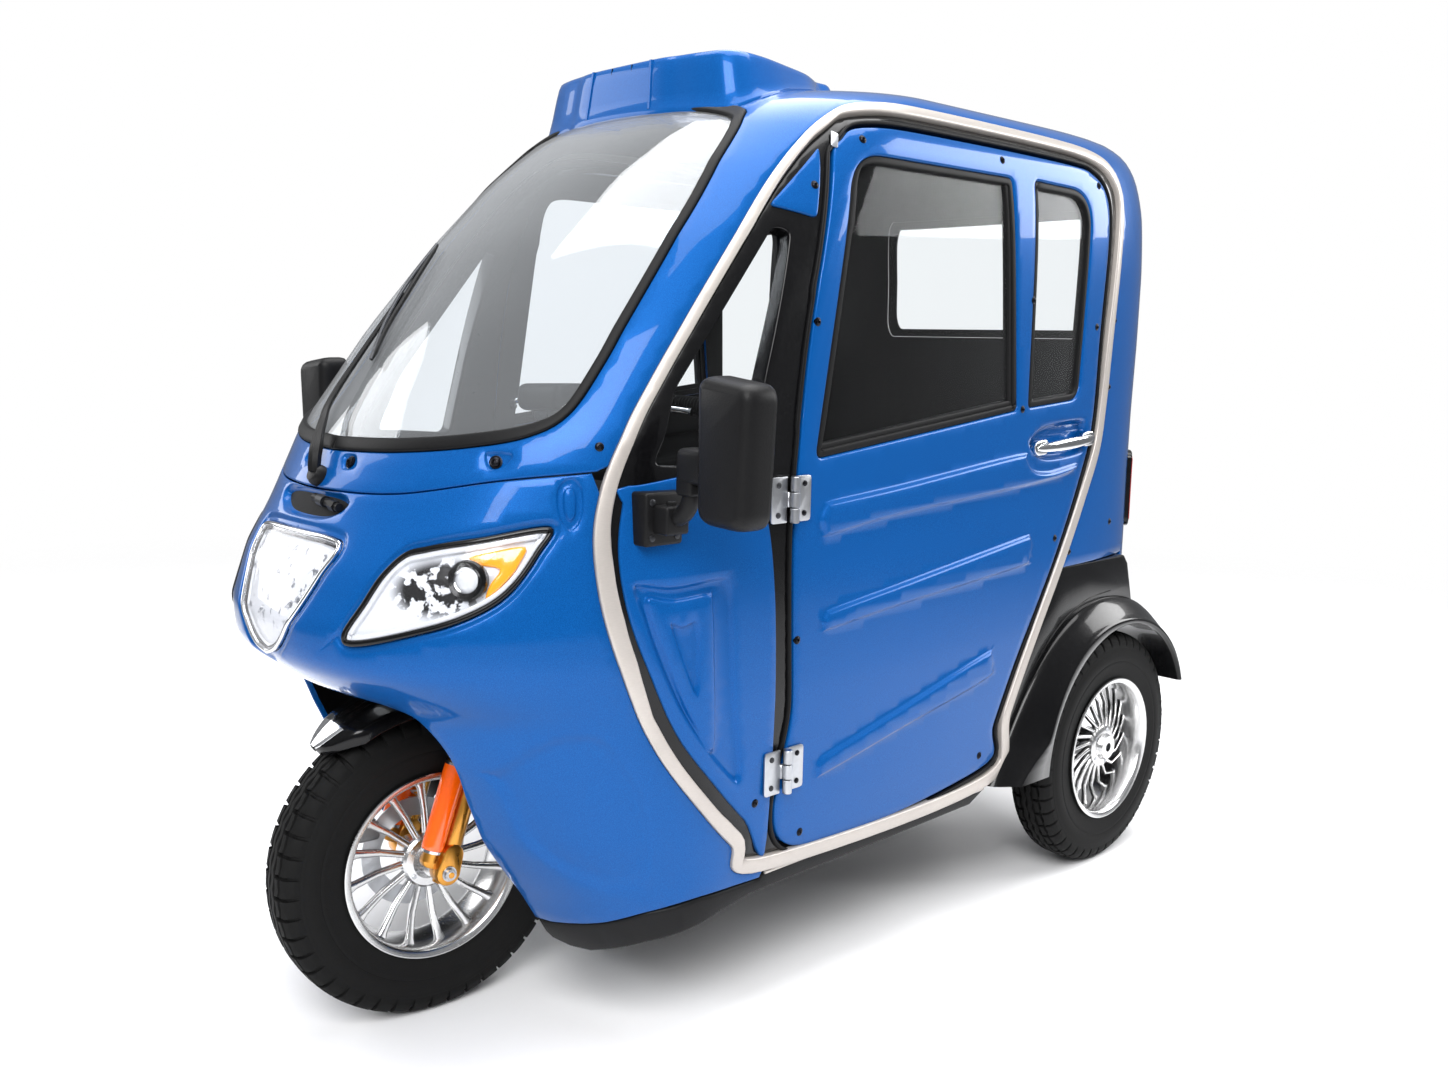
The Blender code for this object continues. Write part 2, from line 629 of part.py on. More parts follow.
def hinge_half(z, body_side):
    """One half of a door hinge on the left: its knuckles and its leaf, as one closed body."""
    half, third, r = 0.038, 0.0125, 0.008
    low_x, high_x = 0.450 * SX + GAP, 0.450 * SX + 0.0045
    way = -1.0 if body_side else 1.0
    edge, end = HINGE_Y + way * 0.0095, HINGE_Y + way * 0.046
    leaf = box((low_x, min(edge, end), z - half), (high_x, max(edge, end), z + half))
    root = HINGE_Y + way * (0.019 * SY if body_side else 0.0265 * SY + 0.0055)
    foot = box((0.440 * SX, root - 0.005, z - half + 0.006),
               (high_x - 0.001, root + 0.005, z + half - 0.006))
    leaf = join(leaf, foot)
    spans = ((-half, -third - GAP), (third + GAP, half)) if body_side else ((-third, third),)
    for low, high in spans:
        knuckle = sweep([(HINGE_X, HINGE_Y, z + low), (HINGE_X, HINGE_Y, z + high)], r, 12)
        arm = box((low_x, min(HINGE_Y, edge + way * 0.002), z + low),
                  (high_x, max(HINGE_Y, edge + way * 0.002), z + high))
        leaf = join(leaf, join(knuckle, arm))
    return leaf


def largest(item):
    """Keeps only the piece of a body that reaches highest."""
    bm = bmesh.new()
    bm.from_mesh(item.data)
    bm.verts.ensure_lookup_table()
    top = max(bm.verts, key=lambda v: v.co.z)
    seen, queue = {top}, [top]
    while queue:
        for edge in queue.pop().link_edges:
            for vert in edge.verts:
                if vert not in seen:
                    seen.add(vert)
                    queue.append(vert)
    bmesh.ops.delete(bm, geom=[v for v in bm.verts if v not in seen], context="VERTS")
    bm.to_mesh(item.data)
    bm.free()
    return item


def make_wheel(name, centre, spokes, sweep_by, turn=None, outer=1.0):
    """A tyre and its alloy rim, turned about the axle."""
    r, h, lip = TYRE_RADIUS, TYRE_HALF, RIM_LIP_RADIUS
    tyre = [(-h + 0.008, lip - 0.0075), (-h + 0.0055, lip + 0.006), (-h, lip + 0.025),
            (-h, r - 0.055), (-h + 0.004, r - 0.022),
            (-h + 0.014, r - 0.006), (-0.020, r - 0.001), (0.0, r), (0.020, r - 0.001),
            (h - 0.014, r - 0.006), (h - 0.004, r - 0.022), (h, r - 0.055), (h, lip + 0.025),
            (h - 0.0055, lip + 0.006), (h - 0.008, lip - 0.0075)]
    place(turned(tyre, WHEEL_STEPS, "X", centre), name + "_tyre", "rubber", centre, turn)
    rim_r = lip - 0.008 - GAP
    rim = turned([(-0.0526, rim_r - 0.006), (-0.0526, lip), (-0.0475, lip), (-0.0445, rim_r),
                  (0.0445, rim_r), (0.0475, lip), (0.0526, lip), (0.0526, rim_r - 0.006),
                  (0.030, rim_r - 0.010), (-0.030, rim_r - 0.010)], WHEEL_STEPS, "X", centre)
    near = 0.046
    hub = turned([(-0.045, HUB_BORE), (-0.045, 0.034), (0.010, 0.034),
                  (near, 0.026), (near, HUB_BORE)], 20, "X", centre)
    for k in range(spokes):
        bm = bmesh.new()
        start = 2.0 * math.pi * k / spokes
        rows = []
        for share in (0.0, 0.5, 1.0):
            radius = 0.028 + (rim_r - 0.006 - 0.028) * share
            angle = start + sweep_by * share
            wide = 0.0055 + 0.0035 * (1.0 - share)
            out = 0.012 + 0.020 * share
            radial = Vector((0.0, math.cos(angle), math.sin(angle)))
            across = Vector((0.0, -math.sin(angle), math.cos(angle)))
            spot = centre + radial * radius
            rows.append([spot + across * wide + Vector((out * outer, 0, 0)),
                         spot - across * wide + Vector((out * outer, 0, 0)),
                         spot - across * wide + Vector(((out - 0.014) * outer, 0, 0)),
                         spot + across * wide + Vector(((out - 0.014) * outer, 0, 0))])
        verts = add_rings(bm, rows)
        bm.faces.new(verts[0])
        bm.faces.new(verts[-1])
        hub = join(hub, finish(bm, "spoke"))
    rim = join(rim, hub)
    place(rim, name + "_rim", "alloy", centre, turn)


def make_steering():
    """Fork, shocks, front fender and handlebar, built straight and then turned to rest."""
    turn = rest_turn()
    crown = steer_point(CROWN_Z)
    bar_r = 0.0125
    fork = sweep([steer_point(CROWN_Z - 0.01),
                  steer_point(BAR_Z) - STEER_DIR * (bar_r + GAP)], STEM_R)
    beam = soft_box((-0.098, crown.y - 0.030, CROWN_Z - 0.012),
                    (0.098, crown.y + 0.030, CROWN_Z + 0.012), 0.006, 2)
    fork = join(fork, beam)
    axle = sweep([FRONT_AXLE + Vector((-0.110, 0, 0)), FRONT_AXLE + Vector((0.110, 0, 0))], AXLE_R)
    for side in (1.0, -1.0):
        foot = FRONT_AXLE + Vector((side * FORK_X, 0.0, 0.0)) - STEER_DIR * 0.022
        head = foot + STEER_DIR * (CROWN_Z - foot.z) / STEER_DIR.z
        fork = join(fork, sweep([foot, head], LEG_R))
    fork = join(fork, axle)
    place(fork, "fork", "gold", STEER_BASE, turn)

    for side, name in ((1.0, "left"), (-1.0, "right")):
        ahead = Vector((0.0, -STEER_DIR.z, STEER_DIR.y)) * (LEG_R + SHOCK_R - GAP)
        foot = FRONT_AXLE + Vector((side * FORK_X, 0.0, 0.0)) + ahead + STEER_DIR * 0.020
        shock = sweep([foot, foot + STEER_DIR * (TYRE_RADIUS - 0.030)], SHOCK_R)
        place(shock, "shock_" + name, "orange", STEER_BASE, turn)

    inner, outer = TYRE_RADIUS + 0.030, TYRE_RADIUS + 0.034
    bm = bmesh.new()
    rows = []
    for step in range(11):
        angle = math.radians(51.0 + 87.0 * step / 10)
        radial = Vector((0.0, -math.cos(angle), math.sin(angle)))
        side = (FORK_X - LEG_R - GAP) * (FENDER_TIP[step] if step < len(FENDER_TIP) else 1.0)
        top = [FRONT_AXLE + radial * (outer + d) + Vector((x * side, 0, 0))
               for x, d in FENDER_DOME]
        low = [FRONT_AXLE + radial * (inner + d) + Vector((x * side * 0.95, 0, 0))
               for x, d in reversed(FENDER_DOME)]
        rows.append(top + low)
    verts = add_rings(bm, rows)
    bm.faces.new(verts[0])
    bm.faces.new(verts[-1])
    place(finish(bm, "fender"), "front_fender", "black", STEER_BASE, turn)

    hub = steer_point(BAR_Z)
    place(sweep([hub + Vector(p) for p in HANDLEBAR], bar_r), "handlebar", "black", STEER_BASE,
          turn)
    make_wheel("front", FRONT_AXLE, SPOKES_FRONT, 0.25, turn)


def flare_arc(column, extra=0.0, turn=0.0):
    """One arc of the rear arch, from a column of its table, grown and turned a little."""
    grow = TYRE_RADIUS / 0.260
    return [(REAR_AXLE.y + (row[column] * grow + extra) * math.cos(math.radians(row[0] + turn)),
             REAR_AXLE.z + (row[column] * grow + extra) * math.sin(math.radians(row[0] + turn)))
            for row in FLARE]


def lengthwise(y):
    """Where a lengthwise place lands: what is aft of the driver goes with the rear axle."""
    return y * SY if y < 0.3 else REAR_AXLE.y + y - 0.729


def make_running_gear():
    """Chassis, floor, axle, battery, fenders and the lamps at the back."""
    rail = 0.020
    side = [(lengthwise(y), z) for y, z in RAIL_SIDE]
    chassis = join(prism(side, -0.22 - rail, -0.22 + rail), prism(side, 0.22 - rail, 0.22 + rail))
    for y, z in CROSS_BARS:
        spot = lengthwise(y)
        chassis = join(chassis, box((-0.235, spot - 0.016, z), (0.235, spot + 0.016, z + 0.036)))
    neck_low, neck_high = steer_point(CROWN_Z + 0.042), steer_point(CROWN_Z + 0.192)
    neck = sweep([neck_low, neck_high], 0.030, 24)
    struts = []
    for side in (1.0, -1.0):
        struts.append(sweep([(side * 0.215, -0.385 * SY, 0.225),
                             (side * 0.215, -0.400 * SY, 0.50 * SZ),
                             neck_high + Vector((side * 0.018, 0.015, -0.03))], 0.014))
    chassis = join(chassis, *struts)
    chassis = join(chassis, neck)
    bore = sweep([steer_point(CROWN_Z - 0.10), steer_point(CROWN_Z + 0.35)], STEM_R + 2 * GAP, 24)
    chassis = cut(chassis, bore)
    place(chassis, "chassis", "steel")

    floor = box((-0.360 * SX, -0.36 * SY, FLOOR_Z), (0.360 * SX, 0.270 * SY, FLOOR_Z + 0.006))
    deck = prism([(min(lengthwise(y), 0.90 * SY), z) for y, z in DECK_SIDE], 0.032 - ROOM,
                 ROOM - 0.032)
    floor = join(floor, deck)
    place(floor, "floor_pan", "black")

    line = [(y, z - GAP) for y, z in scaled(SILL_LINE[:6])]
    end = min(0.272 * SY, REAR_AXLE.y - 0.457)
    low = [(y * SY if y < 0.0 else y * end / 0.272, z * SZ) for y, z in SILL_LOW]
    sill = prism([(end, TRIM[0][1] * SZ - GAP), (-0.352 * SY, TRIM[0][1] * SZ - GAP)] + line
                 + low, 0.05, REACH)
    sill = cut(keep(skin_slab(0.0, SILL_DEEP * SX), sill), front_prism(ARCH, back=-0.31))
    place_pair(sill, "sill", "black")

    axle = sweep([(-REAR_AXLE.x - 0.030, REAR_AXLE.y, REAR_AXLE.z),
                  (REAR_AXLE.x + 0.030, REAR_AXLE.y, REAR_AXLE.z)], AXLE_R)
    tube = ROOM - 0.022
    axle = join(axle, sweep([(-tube, REAR_AXLE.y, REAR_AXLE.z), (tube, REAR_AXLE.y, REAR_AXLE.z)],
                            0.028, 20),
                soft_box((-0.075, REAR_AXLE.y - 0.16, REAR_AXLE.z - 0.085),
                         (0.075, REAR_AXLE.y + 0.07, REAR_AXLE.z + 0.085), 0.02, 3))
    place(axle, "rear_axle", "steel")
    y, under = REAR_AXLE.y, REAR_AXLE.z - 0.028 - GAP
    spring = prism([(y - 0.224 + GAP, 0.285), (y - 0.129, under - 0.004), (y - 0.04, under),
                    (y + 0.04, under), (y + 0.101, under + 0.012), (y + 0.121, 0.290),
                    (y + 0.121, 0.385 - GAP), (y + 0.146, 0.385 - GAP), (y + 0.146, 0.260),
                    (y + 0.111, under - 0.010), (y, under - 0.018), (y - 0.129, under - 0.020),
                    (y - 0.224 + GAP, 0.260)], 0.200, 0.240)
    place_pair(spring, "leaf_spring", "steel")
    place(box((-0.18, -0.08 * SY, FLOOR_Z + 0.006 + GAP), (0.18, 0.24 * SY, 0.445)), "battery", "black")

    outline = flare_arc(1, GAP, 0.4)[::-1] + flare_arc(2, -0.003, 0.4)[:4]
    outline += [(min(y * SY, lengthwise(y)) if y < 0.5 else lengthwise(y), z + WHEEL_LIFT - GAP)
                for y, z in FENDER_SIDE]
    body_x, lip_x, wall = 0.440 * SX, 0.485 * SX, 0.004
    ridge = flare_arc(1)[::-1] + flare_arc(2)
    lip = flare_arc(1)[::-1] + flare_arc(3)
    near = ROOM - 0.012
    fender = join(prism(outline, near, body_x), loft(ridge, lip, body_x - wall, lip_x))
    hollow = join(prism(offset_outline(outline, -wall), near - 0.045, body_x - wall),
                  loft(offset_outline(ridge, -wall), offset_outline(lip, -wall),
                       body_x - 3 * wall, lip_x - wall))
    fender = cut(fender, hollow, side_prism(TRIM, 2 * GAP))
    place_pair(fender, "rear_fender", "black")

    lamp = keep(skin_slab(-0.014, -GAP),
                box((0.300 * SX, 0.6 * SY, 0.735 * SZ), (0.385 * SX, REACH, 0.915 * SZ)))
    place_pair(lamp, "tail_light", "red")


def make_inside():
    """Seats, dash, wiper and mirrors."""
    place(soft_box((-0.20, -0.10 * SY, 0.4454), (0.20, 0.26 * SY, 0.530), 0.02, 3),
          "driver_seat", "seat")
    place(soft_box((-0.19, 0.260 * SY + GAP, 0.47), (0.19, 0.325 * SY, 0.93), 0.025, 3),
          "driver_backrest", "seat")
    side = ROOM - 0.042
    place(soft_box((-side, lengthwise(0.48), 0.446 + GAP),
                   (side, min(lengthwise(0.80), 0.86 * SY), 0.56), 0.02, 3), "rear_bench", "seat")
    edge = steer_point(DASH_SIDE[1][1] * SZ).y - 0.0575
    dash = prism([(y * SY if y == DASH_SIDE[0][0] else edge + y - DASH_SIDE[1][0], z * SZ)
                  for y, z in DASH_SIDE], -REACH, REACH)
    inner = prism(offset_outline(scaled(TRIM), -TRIM_WIDE), -REACH, REACH)
    dash = cut(keep(dash, skin_core(WALL + GAP)), keep(skin_slab(0.0, 0.036 + GAP), inner))
    place(dash, "dash", "black")
    arm = join(sweep([on_front(*row) for row in WIPER_ARM], 0.005, 8),
               sweep([on_front(*row) for row in WIPER_BLADE], 0.0055, 6))
    place(on_skin(arm), "wiper", "black")
    base = Vector((0.440 * SX, -0.590 * SY, 0.882 * SZ))
    head = soft_box(base + Vector((0.105, -0.030, 0.0)), base + Vector((0.215, 0.028, 0.213)),
                    0.018, 2)
    neck = soft_box(base + Vector((0.058, -0.022, 0.056)), base + Vector((0.112, 0.022, 0.112)),
                    0.006, 1)
    arm = sweep([base, base + Vector((0.045, 0.0, 0.006)), base + Vector((0.078, 0.0, 0.075))],
                0.012, 10)
    foot = box(base + Vector((-0.040, -0.036, -0.039)), base + Vector((0.022, 0.036, 0.040)))
    place_pair(on_skin(join(head, neck, arm, foot)), "mirror", "black")


def main():
    clear_scene()
    make_panels()
    make_steering()
    for side, name in ((1.0, "rear_left"), (-1.0, "rear_right")):
        centre = Vector((REAR_AXLE.x * side, REAR_AXLE.y, REAR_AXLE.z))
        make_wheel(name, centre, SPOKES_REAR, 0.6 * side, outer=side)
    make_running_gear()
    make_inside()


main()
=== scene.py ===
# %% [markdown]
# # An enclosed passenger tricycle
# A small cabin vehicle with one steered wheel in front and two wheels behind. Its body is
# moulded plastic, painted blue, so nearly every panel is a part of one smooth skin. We write
# that skin as a formula, cut panels out of it along outlines, and then dress the rest.

import math

import bmesh
import bpy
import numpy as np
from mathutils import Matrix, Vector, geometry


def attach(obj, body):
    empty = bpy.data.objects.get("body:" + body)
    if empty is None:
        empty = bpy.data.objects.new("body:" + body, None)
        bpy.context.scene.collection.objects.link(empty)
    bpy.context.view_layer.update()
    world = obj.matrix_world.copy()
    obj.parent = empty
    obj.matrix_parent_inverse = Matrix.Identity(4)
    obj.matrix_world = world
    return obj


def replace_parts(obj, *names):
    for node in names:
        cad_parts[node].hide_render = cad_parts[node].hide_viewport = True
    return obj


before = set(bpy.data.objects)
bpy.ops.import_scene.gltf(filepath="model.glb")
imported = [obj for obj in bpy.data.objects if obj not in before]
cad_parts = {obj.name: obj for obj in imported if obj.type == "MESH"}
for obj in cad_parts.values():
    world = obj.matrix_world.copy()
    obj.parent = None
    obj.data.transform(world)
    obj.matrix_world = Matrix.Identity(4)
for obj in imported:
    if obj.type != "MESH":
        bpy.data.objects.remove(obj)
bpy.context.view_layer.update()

# %% [markdown]
# ## Node trees as expressions
# A shader is easier to read as a sum than as a web of wires. The class S wraps a socket, and
# its operators add Math nodes. Tree.add makes any other node in one call.


# %% Expression helper
class S:
    """A socket whose arithmetic adds Math nodes to its tree."""

    def __init__(self, tree, socket):
        self.tree, self.socket = tree, socket

    def _math(self, how, *values):
        return self.tree.add("ShaderNodeMath", {"operation": how},
                             {i: v for i, v in enumerate(values)})

    def __add__(self, other): return self._math("ADD", self, other)
    def __radd__(self, other): return self._math("ADD", other, self)
    def __sub__(self, other): return self._math("SUBTRACT", self, other)
    def __rsub__(self, other): return self._math("SUBTRACT", other, self)
    def __mul__(self, other): return self._math("MULTIPLY", self, other)
    def __truediv__(self, other): return self._math("DIVIDE", self, other)
    def __pow__(self, other): return self._math("POWER", self, other)

    def ramp(self, low, high):
        """0 at low, 1 at high, smooth between."""
        return self.tree.add("ShaderNodeMapRange", {"interpolation_type": "SMOOTHSTEP"},
                             {0: self, 1: low, 2: high})


class Tree:
    """A node tree that is filled by calls."""

    def __init__(self, nodes):
        self.nodes = nodes

    def add(self, kind, settings=None, inputs=None, out=0):
        node = self.nodes.nodes.new(kind)
        for name, value in (settings or {}).items():
            setattr(node, name, value)
        for name, value in (inputs or {}).items():
            self.put(node.inputs[name], value)
        return S(self, node.outputs[out])

    def put(self, socket, value):
        if isinstance(value, S):
            self.nodes.links.new(value.socket, socket)
        else:
            socket.default_value = value

    def place(self):
        """The Object coordinates, as a vector and its three parts."""
        where = self.add("ShaderNodeTexCoord", out=3)
        split = self.add("ShaderNodeSeparateXYZ", None, {0: where})
        parts = [S(self, split.socket.node.outputs[i]) for i in range(3)]
        return where, parts

    def noise(self, scale, detail=2.0, rough=0.5, where=None, stretch=None):
        if where is None:
            where = self.add("ShaderNodeTexCoord", out=3)
        if stretch is not None:
            where = self.add("ShaderNodeMapping", None, {0: where, "Scale": stretch})
        return self.add("ShaderNodeTexNoise", None,
                        {"Vector": where, "Scale": scale, "Detail": detail, "Roughness": rough})

    def mix(self, share, one, two):
        """A colour between two colours."""
        node = self.nodes.nodes.new("ShaderNodeMix")
        node.data_type = "RGBA"
        self.put(node.inputs[0], share)
        self.put(node.inputs[6], one)
        self.put(node.inputs[7], two)
        return S(self, node.outputs[2])

    def bump(self, height, strength, distance):
        return self.add("ShaderNodeBump", None,
                        {"Height": height, "Strength": strength, "Distance": distance})

    def surface(self, shader, colour, rough, normal):
        """Links what varies over a material: its colour, roughness and bump."""
        for name, value in (("Base Color", colour), ("Roughness", rough), ("Normal", normal)):
            if value is not None:
                self.put(shader.inputs[name], value)


def mm(*values):
    """Pairs in metres from a flat list in millimetres."""
    return tuple(zip([v / 1000 for v in values[::2]], [v / 1000 for v in values[1::2]]))


def rgb(r, g, b):
    """An sRGB colour of 0 to 255 values as the linear colour that shaders use."""
    return tuple((v / 255.0 / 12.92) if v <= 10 else ((v / 255.0 + 0.055) / 1.055) ** 2.4
                 for v in (r, g, b)) + (1.0,)


def shaded(colour, share):
    """A colour made darker by a share."""
    return tuple(c * share for c in colour[:3]) + (1.0,)


def finish_of(name, **sockets):
    """A new material with a Principled shader, and its tree; sockets get numbers or colours."""
    material = bpy.data.materials.new(name)
    material.use_nodes = True
    tree = Tree(material.node_tree)
    shader = material.node_tree.nodes["Principled BSDF"]
    for key, value in sockets.items():
        shader.inputs[key.replace("_", " ")].default_value = value
    return material, tree, shader


# %% [markdown]
# ## Paint
# The panels are gloss blue with a fine metallic flake under clear coat. The flake is a small
# noise in the base colour, moulded panels are slightly wavy, which a broad faint bump gives,
# and dust settles on the lower edge.

# %% Paint
def make_paint():
    material, tree, shader = finish_of("blue_paint", Metallic=0.18, Coat_Weight=1.0,
                                       Coat_Roughness=0.035, Coat_IOR=1.22,
                                       Specular_IOR_Level=0.05)
    where, (x, y, z) = tree.place()
    flake = tree.noise(900.0, 1.0, 0.5, where)
    cloud = tree.noise(2.2, 2.0, 0.5, where)
    dust = tree.noise(30.0, 3.0, 0.6, where) * (1.0 - z.ramp(0.22, 0.50))
    colour = tree.mix(flake.ramp(0.35, 0.7), rgb(4, 70, 136), rgb(12, 88, 160))
    colour = tree.mix(cloud * 0.25, colour, rgb(5, 76, 146))
    colour = tree.mix(dust * 0.04, colour, rgb(120, 130, 140))
    rough = 0.26 + flake * 0.08 + dust * 0.2
    wave = tree.noise(7.0, 1.0, 0.4, where)
    peel = tree.noise(260.0, 1.0, 0.4, where)
    tree.surface(shader, colour, rough, tree.bump(wave + peel * 0.012, 0.5, 0.0016))
    return material


PAINT = make_paint()


# %% [markdown]
# ## Plastics, rubber and metals
# Each finish gets its own grain: moulded black plastic has a fine leather-like texture, tyres
# are dull with dusty treads, polished alloy shows faint turning marks, and zinc plate is
# spotted. One function per family keeps the numbers together.

# %% Plastics and rubber
def make_plastic(name, colour, rough, grain, depth, gloss=0.0):
    material, tree, shader = finish_of(name, Coat_Weight=gloss, Coat_Roughness=0.06, Coat_IOR=1.3,
                                       Specular_IOR_Level=0.15)
    where = tree.place()[0]
    fine = tree.noise(grain, 2.0, 0.55, where)
    broad = tree.noise(9.0, 3.0, 0.6, where)
    pale = tuple(min(1.0, c * 1.9 + 0.004) for c in colour[:3]) + (1.0,)
    tree.surface(shader, tree.mix(fine * 0.5 + broad * 0.4, colour, pale),
                 rough + fine * 0.12 + broad * 0.08 - 0.08, tree.bump(fine, 0.6, depth))
    return material


BLACK = make_plastic("black_plastic", rgb(11, 11, 12), 0.42, 420.0, 0.0004)
GLOSS_BLACK = make_plastic("gloss_black", rgb(3, 3, 4), 0.22, 150.0, 0.0001, 0.6)
SEAL = make_plastic("seal_rubber", rgb(5, 5, 6), 0.5, 300.0, 0.0003)
TYRE = make_plastic("tyre_rubber", rgb(6, 6, 6), 0.66, 260.0, 0.0005)
GRIP = make_plastic("grip_rubber", rgb(16, 16, 16), 0.6, 500.0, 0.0004)
# The liner is dark plastic, made darker still as painted shade for the cabin's inside walls seen
# through the windows.
LINER_WITH_PAINTED_SHADE = make_plastic("dark_liner_with_painted_shade", rgb(4, 4, 5), 0.62, 350.0, 0.0004)


def make_metal(name, colour, rough, grain, stretch, depth, coat=0.0):
    material, tree, shader = finish_of(name, Metallic=1.0, Coat_Weight=coat, Coat_Roughness=0.06)
    brush = tree.noise(grain, 2.0, 0.6, stretch=stretch)
    patch = tree.noise(14.0, 3.0, 0.6)
    tree.surface(shader, tree.mix(brush * 0.5 + patch * 0.4, colour, shaded(colour, 0.72)),
                 rough + brush * 0.14 + patch * 0.10 - 0.08, tree.bump(brush, 0.5, depth))
    return material


ALLOY = make_metal("polished_alloy", rgb(222, 222, 222), 0.20, 60.0, (1.0, 8.0, 8.0), 0.0002)
DARK_ALLOY = make_metal("cast_alloy", rgb(150, 150, 152), 0.42, 220.0, (1, 1, 1), 0.0004)
TRIM = make_metal("satin_trim", rgb(194, 187, 181), 0.36, 120.0, (1.0, 1.0, 6.0), 0.0002)
TRIM.node_tree.nodes["Principled BSDF"].inputs["Metallic"].default_value = 0.45
CHROME = make_metal("chrome", rgb(232, 233, 235), 0.07, 30.0, (1, 1, 1), 0.0001)
ZINC = make_metal("zinc_plate", rgb(190, 192, 196), 0.30, 90.0, (1, 1, 1), 0.0003)
STEEL = make_metal("dark_steel", rgb(70, 71, 74), 0.45, 120.0, (1, 1, 1), 0.0004)
SCREW = make_metal("black_screw", rgb(40, 40, 44), 0.28, 200.0, (1, 1, 1), 0.0002)
GOLD = make_metal("gold_anodised", rgb(214, 150, 62), 0.26, 160.0, (1.0, 1.0, 0.2), 0.0002, 0.3)


# %% Clear and coloured plastics
def make_pane(name, tint, haze):
    """A pane: a see-through film whose gloss grows towards grazing views."""
    material, tree, shader = finish_of(name, Roughness=0.03, IOR=1.5, Metallic=0.6)
    film = tree.noise(3.0, 3.0, 0.6)
    tree.put(shader.inputs["Base Color"], tree.mix(film, tint, shaded(tint, 0.9)))
    clear = tree.add("ShaderNodeBsdfTransparent", None, {0: tint})
    facing = tree.add("ShaderNodeLayerWeight", None, {"Blend": 0.5}, out=1)
    share = tree.add("ShaderNodeMixShader", None,
                     {0: facing ** 4.0 * 0.6 + haze + film * haze * 0.3, 1: clear,
                      2: S(tree, shader.outputs[0])})
    tree.put(material.node_tree.nodes["Material Output"].inputs["Surface"], share)
    return material


SCREEN_GLASS = make_pane("screen_glass", (0.93, 0.95, 0.97, 1.0), 0.10)
SIDE_GLASS = make_pane("side_glass", (0.97, 0.98, 0.985, 1.0), 0.003)
LENS = make_pane("lamp_lens", (0.98, 0.98, 0.99, 1.0), 0.012)


def make_gloss(name, colour, rough=0.15, coat=0.6, painted_glow=0.0):
    material, tree, shader = finish_of(name, Coat_Weight=coat, Coat_Roughness=0.05)
    speck = tree.noise(180.0, 2.0, 0.5)
    tree.surface(shader, tree.mix(speck, colour, shaded(colour, 0.8)), rough + speck * 0.08,
                 tree.bump(speck, 0.3, 0.0002))
    # The emission is painted light: a glow on parts that are no lit lamps.
    if painted_glow:
        shader.inputs["Emission Color"].default_value = colour
        shader.inputs["Emission Strength"].default_value = painted_glow
    return material


# The orange enamel, the amber reflector and the bright reflector get a painted glow; none of them
# is a lit lamp.
ORANGE = make_gloss("orange_enamel", rgb(250, 96, 8), 0.18, 0.8, 0.12)
AMBER = make_gloss("amber_reflector", rgb(250, 160, 20), 0.12, 0.8, 0.25)
RED = make_gloss("red_lens", rgb(170, 10, 12), 0.12, 0.8)
PEARL = make_gloss("pale_band", rgb(205, 208, 212), 0.3, 0.5)
BRIGHT = make_gloss("bright_reflector", rgb(214, 217, 221), 0.12, 0.6, 0.08)

# %% [markdown]
# ## The skin
# The cabin is one surface. Seen from above, each level is half a nose and half a box: two
# superellipses that meet at the widest place. Seen from ahead, the roof closes over the sides
# with a superellipse too. A table gives the widths and the profile; a coordinate pair (S, V)
# runs round the cabin and up it, close to true metres, so an outline keeps its shape.

# %% Skin table
SKIN = np.array((
    (0.150, 0.435, -0.640, -0.450, 0.930), (0.250, 0.441, -0.700, -0.450, 0.930),
    (0.360, 0.446, -0.780, -0.450, 0.930), (0.500, 0.450, -0.855, -0.450, 0.930),
    (0.575, 0.452, -0.885, -0.450, 0.930), (0.620, 0.452, -0.950, -0.450, 0.930),
    (0.660, 0.452, -0.995, -0.450, 0.930), (0.720, 0.452, -1.000, -0.450, 0.930),
    (0.800, 0.451, -0.970, -0.450, 0.930), (0.870, 0.450, -0.925, -0.450, 0.930),
    (0.970, 0.450, -0.870, -0.450, 0.930), (1.000, 0.450, -0.850, -0.450, 0.930),
    (1.150, 0.450, -0.735, -0.330, 0.928), (1.300, 0.450, -0.600, -0.210, 0.920),
    (1.420, 0.450, -0.475, -0.110, 0.905), (1.500, 0.450, -0.370, -0.050, 0.885),
    (1.540, 0.450, -0.300, 0.010, 0.865), (1.565, 0.450, -0.220, 0.080, 0.830),
    (1.580, 0.450, -0.120, 0.140, 0.770), (1.590, 0.450, 0.020, 0.200, 0.640)))
BELT, TOP = 1.0, 1.59
ROUND_ABOVE = 1.555
BOX_POWER, NOSE_POWER = 7.0, 2.2
FRONT_ARC, BACK_ARC = 0.75, 1.38
FINE_Z = np.arange(0.05, 1.6701, 0.001)
KERNEL = np.hanning(33) / np.hanning(33).sum()
FINE = []
for column in range(1, 5):
    raw = np.interp(FINE_Z, SKIN[:, 0], SKIN[:, column])
    soft = np.convolve(np.pad(raw, 16, mode="edge"), KERNEL, mode="valid")
    FINE.append(np.where(FINE_Z > ROUND_ABOVE, raw, soft))
K1 = 0.8
K2 = (1.0 - K1 ** BOX_POWER) ** (1.0 / BOX_POWER)
T1, T2 = (math.asin(k ** (BOX_POWER / 2.0)) for k in (K1, K2))
CORNER = 0.235
P_END = K1 + CORNER + K1


